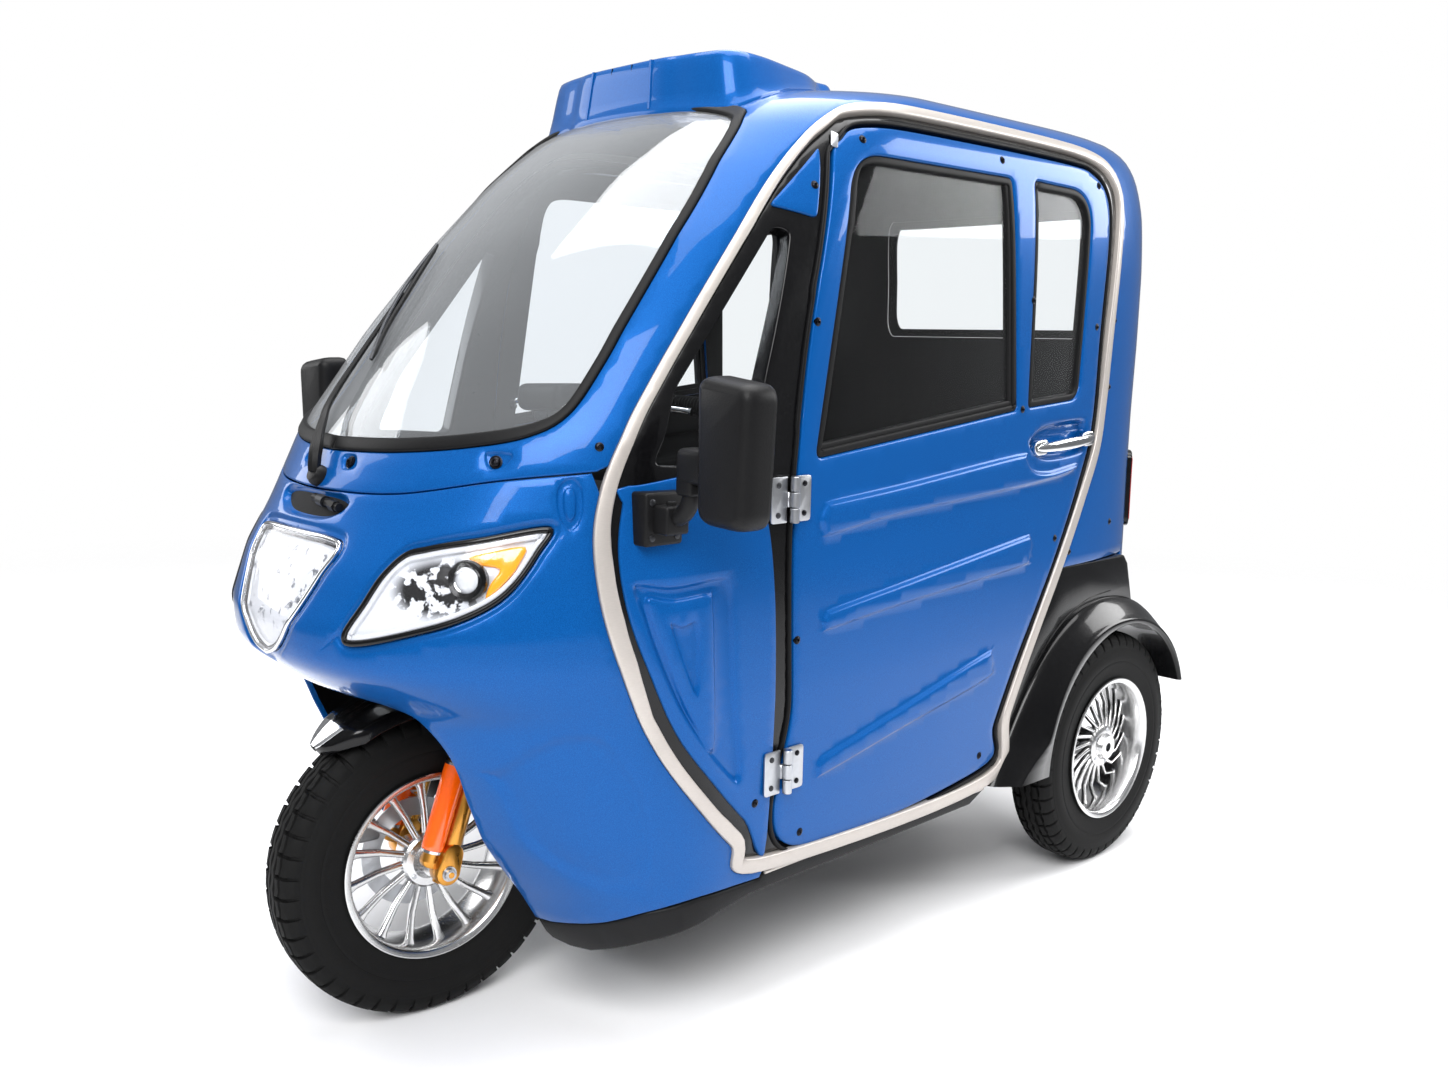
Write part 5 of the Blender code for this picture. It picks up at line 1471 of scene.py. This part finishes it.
def shock_side(side, tag):
    """One orange damper with its bands, its gold ends and the small spring beside it."""
    at = AXLE + (side * LEG_X, 0.0, 0.0) + AHEAD * SHOCK_AHEAD
    body = knob("damper" + tag, [(0.030, 0.0165), (0.034, 0.0182), (0.040, 0.0186),
                                 (0.170, 0.0196), (0.176, 0.0188)], at, DIR, ORANGE)
    rings = [turned("band" + tag, [(low, 0.012), (low, r), (low + 0.0045, r + 0.0004),
                                   (low + 0.0055, r - 0.001), (low + 0.0055, 0.012)],
                    at, DIR, CHROME) for low, r in ((0.0275, 0.0180), (0.1740, 0.0192))]
    cap = knob("cap" + tag, mm(176, 17.5, 184, 16.5, 187, 9, 250, 9), at, DIR, GOLD)
    foot = knob("foot" + tag, [(0.012, 0.0125), (0.030, 0.0135)], at, DIR, GOLD)
    middle = at - AHEAD * 0.0176 - np.array([side * 0.015, 0.0, 0.0])
    turns = 2 * math.pi * COIL_TURNS
    coil = [middle + DIR * (0.045 + 0.135 * t)
            + 0.0075 * (AHEAD * math.cos(t * turns)
                        + np.array([1.0, 0.0, 0.0]) * math.sin(t * turns))
            for t in np.linspace(0.0, 1.0, 200)]
    return [body, cap, foot, tube("coil" + tag, coil, 0.0017, ZINC, 6)] + rings


fork_parts = fork_side(1.0, "_l") + fork_side(-1.0, "_r")
fork_parts.append(block("crown", (-0.098, HUB[1] - 0.176, CROWN_Z - 0.012),
                        (0.098, HUB[1] - 0.116, CROWN_Z + 0.012), 0.006, DARK_ALLOY))
fork_parts.append(knob("stem", [(0.0, 0.0140), (0.415, 0.0140)], HUB - DIR * 0.428, DIR, STEEL))
fork_parts.append(knob("front_axle", [(-0.108, 0.0096), (0.108, 0.0096)], AXLE, (1, 0, 0), ZINC))
steering_piece("fork_skin", fork_parts, "fork")
for side, name in ((1.0, "left"), (-1.0, "right")):
    steering_piece("shock_skin_" + name[0], shock_side(side, name[0]), "shock_" + name)
print("fork and shocks placed")


# %% Brake caliper
caliper = AXLE + np.array([-0.050, 0.098 * math.cos(2.6), 0.098 * math.sin(2.6)])
steering_piece("caliper", [
    block("caliper_a", caliper - (0.012, 0.024, 0.017), caliper + (0.016, 0.024, 0.017), 0.006,
          DARK_ALLOY),
    block("caliper_b", caliper + (-0.020, -0.010, -0.026), caliper + (-0.010, 0.012, 0.014),
          0.003, STEEL)])


# %% Front fender
FENDER_RADIUS = 0.294


def fender_row(t):
    """One cross section of the front fender, t from its tip to its tail."""
    angle = math.radians(51.0 + 87.0 * t)
    side = 0.0652 * min(1.0, 0.16 + 1.15 * min(t / 0.16, 1.0) ** 0.55 * 0.78)
    way = np.array([0.0, -math.cos(angle), math.sin(angle)])
    outside, inside = [], []
    for u in np.linspace(-1.0, 1.0, 21):
        d = 0.0095 - 0.0205 * abs(u) ** 3.2 + 0.003 * max(0.0, 1.0 - abs(u) * 6.0)
        outside.append((u, d))
        inside.append((u * 0.955, d - 0.0032))
    skirt = [(1.0, -0.022), (1.0, -0.0295), (0.985, -0.031), (0.962, -0.0295), (0.960, -0.020)]
    flip = [(-u, d) for u, d in skirt]
    drop = 0.006 * (1.0 - min(1.0, t / 0.22)) ** 2
    shape = outside + skirt + inside[::-1] + flip[::-1]
    full = min(1.0, 0.45 + t * 4.0)
    return [AXLE + way * (FENDER_RADIUS - drop + d * full) + np.array([u * side, 0.0, 0.0])
            for u, d in shape]


def tip_row(t):
    """One cross section of the chrome tip, over and under the fender's middle part."""
    row = fender_row(t)[3:18]
    return ([p + (p - AXLE) * 0.0022 for p in row]
            + [p - (p - AXLE) * 0.0030 for p in row[::-1]])


fender = loft("fender", [fender_row(t) for t in np.linspace(0.0, 1.0, 44)], GLOSS_BLACK, 50.0)
tip = loft("fender_tip", [tip_row(t) for t in np.linspace(0.004, 0.11, 10)], CHROME, 50.0)
steering_piece("front_fender_skin", [fender, tip], "front_fender")

# %% Handlebar
BAR = [HUB + np.array(p) for p in ((-0.17, 0.05, 0.03), (-0.13, 0.026, 0.020), (-0.08, 0.0, 0.0),
                                   (0.08, 0.0, 0.0), (0.13, 0.026, 0.020), (0.17, 0.05, 0.03))]
bar_parts = [tube("bar", bent(BAR), 0.0110, STEEL)]
for side, tag in ((1.0, "l"), (-1.0, "r")):
    near, far = HUB + (side * 0.17, 0.05, 0.03), HUB + (side * 0.30, 0.10, 0.02)
    way = far - near
    ribs = [(0.0, 0.0160), (0.004, 0.0165)]
    ribs += [(0.008 + 0.006 * k + d, 0.0140 + e) for k in range(20)
             for d, e in ((0.0, 0.0), (0.0015, 0.0015), (0.0035, 0.0015), (0.0050, 0.0))]
    ribs += [(0.131, 0.0165), (0.137, 0.0150)]
    lever = bent([near + (0, -0.02, 0), near + way * 0.2 - (0, 0.045, 0),
                  near + way * 0.6 - (0, 0.050, 0.002), near + way * 0.98 - (0, 0.040, 0.006)])
    bar_parts += [
        knob("grip_" + tag, ribs, near, way, GRIP, 28),
        block("switch_" + tag, near - (0.022, 0.018, 0.018), near + (0.022, 0.018, 0.018), 0.007,
              BLACK),
        tube("lever_" + tag, lever, [(0.0, 0.0065), (0.6, 0.0050), (0.96, 0.0050), (1.0, 0.0070)],
             CHROME, 12)]
GAUGE_FACE = mm(-60, 18, 60, 18, 60, 52, -60, 52)
bar_parts += [
    block("bar_clamp", HUB - (0.030, 0.020, 0.016), HUB + (0.030, 0.020, 0.018), 0.006,
          DARK_ALLOY),
    block("gauge", HUB + (-0.075, -0.060, 0.012), HUB + (0.075, 0.010, 0.060), 0.016, BLACK, 4),
    plate("gauge_face", rounded(GAUGE_FACE, 0.008) + HUB[[0, 2]], HUB[1] + 0.0095,
          HUB[1] + 0.0115, 1, GLOSS_BLACK)]
steering_piece("handlebar_skin", bar_parts, "handlebar")

# %% [markdown]
# ## Rear fenders and sills
# The rear fender's flare runs round the wheel, swells over it and turns down into a foot, so
# it is a loft of cross sections over the angle; its table holds the radius at the body and at
# the lip. A flat plate joins it to the side trim. The sill is a patch of the skin, thick and
# black, so it follows the nose round.

# %% Rear fenders
FLARE = ((24, 0.296, 0.292), (40, 0.312, 0.297), (58, 0.325, 0.298), (75, 0.336, 0.298),
         (92, 0.344, 0.300), (108, 0.352, 0.306), (124, 0.357, 0.311), (140, 0.362, 0.308),
         (154, 0.372, 0.304), (165, 0.390, 0.308), (172, 0.415, 0.350), (179, 0.440, 0.395))
FENDER_IN = 0.346


def about_wheel(angle, radius, x):
    a = math.radians(angle)
    return (x, REAR_AXLE.y + radius * math.cos(a), REAR_AXLE.z + radius * math.sin(a))


def make_fender(name):
    """The flare over the wheel, the board that joins it to the trim, and a thin rib."""
    rows = []
    for angle, ridge, lip in curve_through(FLARE, closed=False, step=3.0):
        shape = [(FENDER_IN, 0.2830), (0.474, 0.2830), (0.4815, 0.2845), (0.4842, 0.2875),
                 (0.4846, lip - 0.006), (0.4835, lip - 0.002), (0.4800, lip + 0.0005)]
        for share, x in ((0.14, 0.4745), (0.32, 0.4670), (0.55, 0.4585), (0.78, 0.4500),
                         (0.93, 0.4430), (1.0, 0.4370)):
            shape.append((x, lip + (ridge - lip) * (1.0 - (1.0 - share) ** 1.25) - 0.0006))
        shape.append((FENDER_IN, ridge - 0.0010))
        rows.append([about_wheel(angle, r, x) for x, r in shape])
    flare = loft("flare", rows, GLOSS_BLACK, 50.0)
    edge = [(y + 0.0035, z) for y, z in reversed(TRIM_LINE[25:])]
    side = [about_wheel(a, r - 0.004, 0.0)[1:] for a, r, lip in
            curve_through(FLARE[3:], closed=False, step=3.0)]
    side += [(0.2860, 0.2780)] + edge[1:] + [(0.4985, 0.6890), (0.7690, 0.6890), (0.7860, 0.6700)]
    board = plate("board", resample(np.array(side), 0.02), FENDER_IN, 0.4396, 0, GLOSS_BLACK,
                  0.004)
    rib = tube("rib", bent([about_wheel(a, r + 0.012, 0.4395) for a, r, lip in FLARE[4:10]], 0.01),
               0.0012, GLOSS_BLACK, 8)
    return joined(name, [flare, board, rib])


side_pair("rear_fender_skin", make_fender, "body", "rear_fender")

# %% Sills
SILL_SIDE = mm(271.5, 272.5, -351, 272.5, -362, 260.5, -492, 264.5, -567, 249.5, -610, 222.5,
               -630, 208.5, -641, 199.5)
SILL_FOOT = mm(-612, 153.5, -600, 156, -558, 193, -487, 216, -380, 237, 230, 243, 270, 262)
SILL_FRONT = ((0.2150, 0.1985), (0.2165, 0.1720), (0.2250, 0.1600))
SILL_STRIP = mm(268, 271.5, -350, 271.5, -350, 266.5, 268, 266.5)
sill_edge = np.vstack([side_pairs(SILL_SIDE), front_pairs(SILL_FRONT), side_pairs(SILL_FOOT)])
panel_pair("sill_skin", resample(sill_edge, 0.012), BLACK, "body", "sill", thick=0.070,
           roll=0.006, step=0.02)
panel_pair("sill_strip", resample(side_pairs(SILL_STRIP), 0.012), TRIM, thick=0.006,
           proud=0.0035, roll=0.0018)

# %% [markdown]
# ## Mirrors, wiper, scoop and handles
# The mirror is a thick matte case with round corners on a neck and a clamp; its glass looks
# back. The wiper's arm springs from a cap in the cowl. The scoop is one moulding in body
# colour with a rim along its foot.


# %% Mirrors
MIRROR_BASE = np.array([0.440, -0.590, 0.882])
MIRROR_CASE = mm(107, 4, 205, 0, 215, 200, 105, 213)
MIRROR_ROWS = mm(-29.9, 17, -28.5, 12, -25, 7, -19.5, 3.4, -12, 1.2, -3, 0.2, 18, 0, 25, 1.2,
                 27.5, 3.5)


def make_mirror(name):
    """The case with its glass, and the neck, stalk, clamp and bracket that carry it."""
    base = MIRROR_BASE
    x, y, z = base
    case = rounded([(x + a, z + b) for a, b in MIRROR_CASE], (0.030, 0.030, 0.026, 0.026), 0.008)
    rows = [np.insert(grow(case, -inset), 1, y + depth, axis=1) for depth, inset in MIRROR_ROWS]

    def box(label, low, high, radius):
        return block(label, base + low, base + high, radius, BLACK)

    stalk = bent([base + (0.006, 0, 0.004), base + (0.045, 0.0, 0.006),
                  base + (0.070, 0.0, 0.030), base + (0.077, 0.0, 0.075)])
    pieces = [loft("case", rows, BLACK, 50.0),
              plate("glass", grow(case, -0.007), y + 0.0265, y + 0.0282, 1, CHROME, 0.0004),
              box("neck", (0.058, -0.021, 0.058), (0.116, 0.021, 0.108), 0.010),
              box("knuckle", (0.056, -0.018, 0.040), (0.090, 0.018, 0.090), 0.006),
              tube("stalk", stalk, 0.0135, BLACK),
              box("clamp", (-0.012, -0.022, -0.020), (0.046, 0.022, 0.022), 0.005),
              box("bracket", (-0.024, -0.036, -0.039), (0.016, 0.036, 0.040), 0.005),
              knob("stud", [(0.0, 0.008), (0.006, 0.0075), (0.007, 0.006)],
                   base + (0.030, 0.0, 0.021), (0, 0, 1), BLACK, 6, 20)]
    pieces += [knob("screw", [(0.0, 0.0055), (0.0016, 0.0050), (0.0024, 0.003)],
                    base + (0.0158, dy, dz), (1, 0, 0), STEEL, 16)
               for dy, dz in ((-0.024, 0.026), (-0.024, -0.026), (0.024, -0.026))]
    return joined(name, pieces)


side_pair("mirror_skin", make_mirror, "body", "mirror")

# %% Wiper
ARM = ((0.000, 0.925, 0.012), (-0.004, 0.945, 0.020), (-0.036, 0.990, 0.019),
       (-0.070, 1.040, 0.016), (-0.096, 1.200, 0.012))
BLADE = ((-0.045, 1.095, 0.0060), (-0.070, 1.147, 0.0060), (-0.095, 1.200, 0.0060),
         (-0.118, 1.246, 0.0060), (-0.140, 1.290, 0.0060))


def over_front(rows):
    """Points over the nose from their x, z and lift."""
    return [spot_at(*at_front(x, z), -lift)[0] for x, z, lift in rows]


cap_spot, cap_way = spot_at(*at_front(0.0, 0.922), 0.002)
wiper = joined("wiper_skin", [
    tube("arm", bent(over_front(ARM), 0.01), [(0, 0.0100), (0.10, 0.0110), (0.16, 0.0085),
                                              (0.35, 0.0055), (1, 0.0034)], BLACK, 8, 20.0),
    tube("link", over_front([(0.012, 0.893, -0.001), (0.088, 0.884, -0.001)]), 0.0065, BLACK, 12),
    tube("link_end", over_front([(0.030, 0.891, -0.001), (0.048, 0.889, -0.001)]), 0.0090,
         STEEL, 12),
    tube("link_nut", over_front([(0.066, 0.8866, -0.001), (0.080, 0.885, -0.001)]), 0.0088,
         BLACK, 6, 20.0),
    tube("blade", bent(over_front(BLADE), 0.01), [(0, 0.0025), (0.05, 0.0045), (0.95, 0.0045),
                                                  (1, 0.0025)], BLACK, 8),
    tube("bow", bent(over_front([(x, z, lift + h) for (x, z, lift), h in
                                 zip(BLADE, (0.001, 0.006, 0.009, 0.006, 0.001))]), 0.01),
         0.0030, STEEL, 8),
    turned("cap", mm(0, 0, 0, 17, 10, 16.5, 17, 12.5, 20, 0),
           cap_spot, cap_way, BLACK, closed=False)], "body")
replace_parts(wiper, "wiper")

# %% Roof scoop
SCOOP = mm(90, -318, 150, -309, 205, -300, 250, -285, 268, -250, 262, -190, 240, -115, 215, -40,
           180, 20, 140, 80)
TOP_Z = 1.6176


def roof_height(x, y):
    """The skin's height over a place, found along the line of its V."""
    low, high = 1.40, 1.62
    for _ in range(26):
        z = 0.5 * (low + high)
        half, nose_y, middle, back = section(min(z, TOP - 0.0005))
        half *= rounding_at(min(z, TOP - 0.0005))
        q = abs((middle - y) / (middle - nose_y)) if y < middle else 0.0
        inside = (z < TOP and q < 1.0
                  and abs(x) < half * (1.0 - q ** NOSE_POWER) ** (1.0 / NOSE_POWER))
        low, high = (z, high) if inside else (low, z)
    return low


def leant(x, y, share, lift):
    """A point of the scoop's wall, a share of the way up; the wall leans in."""
    foot = roof_height(x, y) + lift
    return x * (1.0 - 0.09 * share), y * (1.0 - 0.035 * share), foot + (TOP_Z - foot) * share


scoop_line = curve_through([(-x, y) for x, y in SCOOP[::-1]] + list(SCOOP), step=0.010)
rows = []
for share, inset, lift in ((0.0, -0.003, -0.004), (0.0, -0.003, 0.0035), (0.0, 0.0, 0.0055),
                           (0.3, 0.0, 0.0), (0.7, 0.0, 0.0), (0.88, 0.0008, 0.0),
                           (0.96, 0.0030, 0.0), (0.99, 0.0065, 0.0), (1.0, 0.0120, 0.0)):
    rows.append([leant(x, y, share, lift) for x, y in grow(scoop_line, -inset)])
scoop_parts = [loft("scoop", rows, PAINT, 50.0)]


def on_face(x, share, out):
    """A point of the scoop's front face, moved out."""
    y = np.interp(abs(x), [p[0] for p in SCOOP[:4]], [p[1] for p in SCOOP[:4]])
    x, y, z = leant(x, y, share, 0.0)
    return x, y - out, z


SCOOP_RIB = mm(-4, -3, -2.5, 2.5, 2.5, 2.5, 4, -3)
SCOOP_SPLIT = ((-0.0008, -0.002), (-0.0008, 0.0004), (0.0008, 0.0004), (0.0008, -0.002))
for side in (1.0, -1.0):
    for label, x, end, shape, material in (("scoop_rib", 0.088, 0.97, SCOOP_RIB, PAINT),
                                           ("scoop_split", 0.030, 0.96, SCOOP_SPLIT, SEAL)):
        scoop_parts.append(loft(label, [[on_face(side * (x + w), share, out) for w, out in shape]
                                        for share in np.linspace(0.05, end, 8)], material))
scoop = joined("roof_scoop_skin", scoop_parts, "body")
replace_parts(scoop, "roof_scoop")
print("scoop foot", roof_height(0.0, -0.318), roof_height(0.14, 0.08))


# %% Door handles
def make_handle(name):
    """Two pads on the door and the grip between them."""
    x = 0.4500
    pads = [plate("pad", capsule(a, b, 0.0150), x - 0.010, x + 0.004, 0, CHROME, 0.003)
            for a, b in (((0.384, 0.9425), (0.404, 0.9440)), ((0.556, 0.9540), (0.574, 0.9555)))]
    rows = []
    for t in np.linspace(0.0, 1.0, 25):
        y, z = 0.374 + 0.210 * t, 0.9418 + 0.0145 * t
        swell = math.sin(math.pi * t) ** 0.35 if 0 < t < 1 else 0.12
        out = x + 0.002 + 0.0115 * math.sin(math.pi * t) ** 0.5
        rows.append([(out + b * 0.0050 * swell, y, z + a * 0.0115 * max(swell, 0.12))
                     for a, b in rounded_bar(2.0, 2.0, 0.45, 4)])
    return joined(name, pads + [loft("grip", rows, CHROME, 60.0)])


side_pair("door_handle_skin", make_handle, DOOR_BODY, "door_handle")

# %% [markdown]
# ## Hinges and screws
# Hinges are pairs of zinc leaves round a pin. Each half rides on its own body. Screws sit in
# small washers over the panels; one tree sets them, facing along the skin.

# %% Hinges
HINGE_Y, HINGE_HEIGHTS = -0.322, (0.442, 0.892)


def leaf(name, z, way):
    """Half a hinge: its leaf, its knuckles with their straps, and two screw heads."""
    edge, end = HINGE_Y + way * 0.0095, HINGE_Y + way * 0.0455
    flat = rounded(((edge, z - 0.037), (edge, z + 0.037), (end, z + 0.037), (end, z - 0.037)),
                   (0.001, 0.001, 0.006, 0.006), 0.006)
    pieces = [plate("leaf", flat, 0.4506, 0.4543, 0, ZINC, 0.0006)]
    spans = ((-0.037, -0.0135), (0.0135, 0.037)) if way > 0 else ((-0.0120, 0.0120),)
    for low, high in spans:
        pieces += [knob("knuckle", [(low, 0.0068), (low + 0.001, 0.0078), (high - 0.001, 0.0078),
                                    (high, 0.0068)], (0.462, HINGE_Y, z), (0, 0, 1), ZINC, 24),
                   block("strap", (0.4507, min(edge, HINGE_Y) - 0.001, z + low),
                         (0.4575, max(edge, HINGE_Y) + 0.001, z + high), 0.0012, ZINC, 1)]
    pieces += [knob("head", [(0.0, 0.0050), (0.0016, 0.0046), (0.0028, 0.0028)],
                    (0.4541, HINGE_Y + way * 0.030, z + dz), (1, 0, 0),
                    SCREW if way > 0 else STEEL, 20) for dz in (-0.024, 0.024)]
    return joined(name, pieces)


for k, z in enumerate(HINGE_HEIGHTS):
    side_pair("hinge_door_%d" % k, lambda name: leaf(name, z, 1.0), DOOR_BODY)
    side_pair("hinge_body_%d" % k, lambda name: leaf(name, z, -1.0), "body")

# %% Screws
DOOR_SCREWS = mm(-150, 1468, 236, 1476, 575, 1462, -268, 1172, -297, 658, -269, 319, 245, 343,
                 467, 756, 341, 1227, 586, 1182, 324, 1020)
BODY_SCREWS = mm(661, 1355, 666, 1197, 662, 1059, 712, 768, 527, 722)
QUARTER_SCREWS = ((-0.382, 0.398), (-0.262, 1.385))
PILLAR_SCREWS = ((0.397, 0.986), (0.305, 0.963), (0.062, 0.949))
screw = knob("screw_piece", mm(-3.5, 7, 0.4, 7.2, 0.9, 6, 0.6, 5.2, 2, 4.8, 3.1, 3.4, 3.4, 2,
                               1.6, 1.7), (0, 0, 0), (0, 0, 1), SCREW, 20)
screw.hide_render = True


def screws(name, spots, body, size=1.0, out=0.0, front=False):
    """Screws over the skin on the left and their mirror images on the right."""
    pairs = front_pairs(spots) if front else side_pairs(spots)
    facing = normals(pairs[:, 0], pairs[:, 1])
    base = skin(pairs[:, 0], pairs[:, 1]) + facing * out
    flip = np.array([-1.0, 1.0, 1.0])
    on_spots(name + "_l", screw, base, facing, size, SCREW, body)
    on_spots(name + "_r", screw, base * flip, facing * flip, size, SCREW,
             body.replace("left", "right"))


screws("door_screws", DOOR_SCREWS, DOOR_BODY, out=-0.0002)
screws("quarter_screws", QUARTER_SCREWS, "body", out=0.0004)
screws("back_screws", BODY_SCREWS, "body", out=-0.0002)
screws("pillar_screws", PILLAR_SCREWS, "body", 1.35, out=-0.002, front=True)
bpy.data.objects.remove(screw, do_unlink=True)

# %% Clip at the door frame's upper corner
CLIP = mm(-214, 1452, -204, 1448, -193, 1472, -203, 1477)
panel_pair("door_tag", side_pairs(rounded(CLIP, 0.002, 0.004)), ZINC, thick=0.003, proud=0.002,
           roll=0.001)

# %% [markdown]
# ## Inside
# The seats are the only soft pieces. Each starts as a rounded block a little smaller than the
# cushion and is blown up by the cloth solver, so its faces belly out and its seams pull in.
# The dash follows the source's solid; floor, frame, axle and springs keep their solids and get
# their materials here.


# %% Materials of kept solids
def make_leather(name, colour, dark):
    material, tree, shader = finish_of(name, Coat_Weight=0.05, Coat_Roughness=0.4)
    where = tree.place()[0]
    grain = tree.noise(320.0, 4.0, 0.6, where)
    broad = tree.noise(9.0, 3.0, 0.5, where)
    tree.surface(shader, tree.mix(broad.ramp(0.35, 0.7), colour, dark), 0.42 + grain * 0.2,
                 tree.bump(grain, 0.35, 0.0008))
    return material


LEATHER = make_leather("seat_leather", rgb(44, 30, 27), rgb(30, 21, 20))
KEPT = {"chassis": STEEL, "rear_axle": STEEL, "leaf_spring_left": STEEL,
        "leaf_spring_right": STEEL, "floor_pan": BLACK, "battery": BLACK, "dash": BLACK}
for node, material in KEPT.items():
    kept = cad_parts[node].data
    kept.materials.clear()
    kept.materials.append(material)
    print(node, "keeps its solid,", len(kept.polygons), "faces")


# %% Cushions
MOST_BELLY, CLOTH_FRAMES = 0.022, 20


def cushion(name, low, high, node):
    """A block blown up by the cloth solver; it stands for a node and rides on the body."""
    item = block(name, low, high, 0.018, LEATHER, 3)
    remesh = item.modifiers.new("even", "REMESH")
    remesh.mode, remesh.voxel_size = "VOXEL", 0.006
    item.data = even = baked(item)
    start = np.array([v.co for v in even.vertices])
    cloth = item.modifiers.new("stuffing", "CLOTH")
    settings = cloth.settings
    settings.use_pressure, settings.uniform_pressure_force = True, 4.0
    settings.effector_weights.gravity = 0.0
    settings.tension_stiffness = settings.compression_stiffness = 25.0
    settings.bending_stiffness = 2.0
    for i in range(1, CLOTH_FRAMES + 1):
        bpy.context.scene.frame_set(i)
    blown = baked(item)
    far = np.array([v.co for v in blown.vertices]) - start
    size = np.linalg.norm(far, axis=1, keepdims=True)
    far *= np.minimum(1.0, MOST_BELLY / np.maximum(size, 1e-9))
    print(name, "moved by up to", round(float(size.max()), 4))
    bpy.context.scene.frame_set(1)
    even.vertices.foreach_set("co", (start + far).ravel())
    fine = item.modifiers.new("fine", "SUBSURF")
    fine.levels = fine.render_levels = 1
    item.data = baked(item)
    item.data.polygons.foreach_set("use_smooth", [True] * len(item.data.polygons))
    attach(item, "body")
    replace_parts(item, node)


cushion("driver_seat_skin", (-0.188, -0.090, 0.452), (0.188, 0.250, 0.520), "driver_seat")
cushion("driver_backrest_skin", (-0.180, 0.270, 0.480), (0.180, 0.316, 0.920), "driver_backrest")
cushion("rear_bench_skin", (-0.303, 0.490, 0.455), (0.303, 0.790, 0.550), "rear_bench")

# %% [markdown]
# ## Studio
# A pale floor under broad soft lights, with a white backdrop that only camera rays see. The
# floor fades out far away, so its shadow stays but its edge doesn't show. The camera stands
# where the photographer stood, worked out from known points of the vehicle.

# %% Floor and backdrop
FLOOR_REACH, FADE_FROM, FADE_TO = 30.0, 1.6, 5.5
CAMERA_PLACE, CAMERA_ANGLES = (1.8414, -1.7931, 1.1387), (46.333, 8.983, 1.115)
SENSOR, FOCAL = 36.0, 31.73
LIGHTS = (("key", (3.2, -3.6, 4.2), (0.0, -0.2, 0.6), (3.0, 3.0), 370.0),
          ("top", (0.0, 0.3, 4.6), (0.0, 0.0, 0.6), (4.0, 4.0), 300.0),
          ("fill", (-4.2, -2.6, 2.6), (0.0, 0.0, 0.7), (2.5, 3.0), 90.0),
          ("rim", (2.6, 4.2, 2.8), (0.0, 0.2, 0.8), (2.5, 2.0), 150.0))


def make_floor():
    mesh = bpy.data.meshes.new("floor")
    r = FLOOR_REACH
    mesh.from_pydata([(-r, -r, 0.0), (r, -r, 0.0), (r, r, 0.0), (-r, r, 0.0)], [], [(0, 1, 2, 3)])
    material, tree, shader = finish_of("studio_floor", Roughness=0.6)
    where, (x, y, z) = tree.place()
    grain = tree.noise(60.0, 3.0, 0.6, where)
    tree.surface(shader, tree.mix(grain * 0.5, rgb(247, 247, 248), rgb(243, 243, 245)),
                 0.5 + grain * 0.2, None)
    away = ((x * x + y * y) ** 0.5).ramp(FADE_FROM, FADE_TO)
    clear = tree.add("ShaderNodeBsdfTransparent")
    share = tree.add("ShaderNodeMixShader", None,
                     {0: away, 1: S(tree, shader.outputs[0]), 2: clear})
    tree.put(material.node_tree.nodes["Material Output"].inputs["Surface"], share)
    mesh.materials.append(material)
    placed("floor", mesh)


def make_world():
    world = bpy.data.worlds.new("studio")
    bpy.context.scene.world = world
    world.use_nodes = True
    tree = Tree(world.node_tree)
    shader = world.node_tree.nodes["Background"]
    path = tree.add("ShaderNodeLightPath", out=0).socket.node.outputs
    camera, glossy, through = [S(tree, path[label]) for label in (
        "Is Camera Ray", "Is Glossy Ray", "Is Transmission Ray")]
    spot = tree.add("ShaderNodeTexCoord", out=0)
    split = tree.add("ShaderNodeSeparateXYZ", None, {0: spot})
    high = S(tree, split.socket.node.outputs[2])
    sky = tree.mix(high.ramp(-0.1, 0.75), (0.42, 0.43, 0.45, 1.0), (0.95, 0.96, 0.98, 1.0))
    white = tree.mix(camera + through, sky, (1.0, 1.0, 1.0, 1.0))
    tree.put(shader.inputs["Color"], white)
    tree.put(shader.inputs["Strength"], camera * 0.62 + through * 0.62 + glossy * 0.09 + 0.38)


def area_light(name, place, aim, size, power):
    """A broad lamp at a place, turned to a point."""
    data = bpy.data.lights.new(name, "AREA")
    data.shape, data.size, data.size_y = "RECTANGLE", size[0], size[1]
    data.energy = power
    item = placed(name, data)
    item.location = place
    item.rotation_euler = (Vector(aim) - Vector(place)).to_track_quat("-Z", "Y").to_euler()


def make_camera():
    azimuth, elevation, roll = (math.radians(v) for v in CAMERA_ANGLES)
    back = Vector((math.sin(azimuth) * math.cos(elevation),
                   -math.cos(azimuth) * math.cos(elevation), math.sin(elevation)))
    right = Vector((math.cos(azimuth), math.sin(azimuth), 0.0))
    above = back.cross(right)
    data = bpy.data.cameras.new("camera")
    data.sensor_width, data.lens = SENSOR, FOCAL
    item = placed("camera", data)
    turn = Matrix((right * math.cos(roll) + above * math.sin(roll),
                   above * math.cos(roll) - right * math.sin(roll), back)).transposed()
    item.matrix_world = Matrix.Translation(CAMERA_PLACE) @ turn.to_4x4()
    bpy.context.scene.camera = item


make_floor()
make_world()
for lamp in LIGHTS:
    area_light(*lamp)
make_camera()
bpy.context.scene.view_settings.view_transform = "Standard"
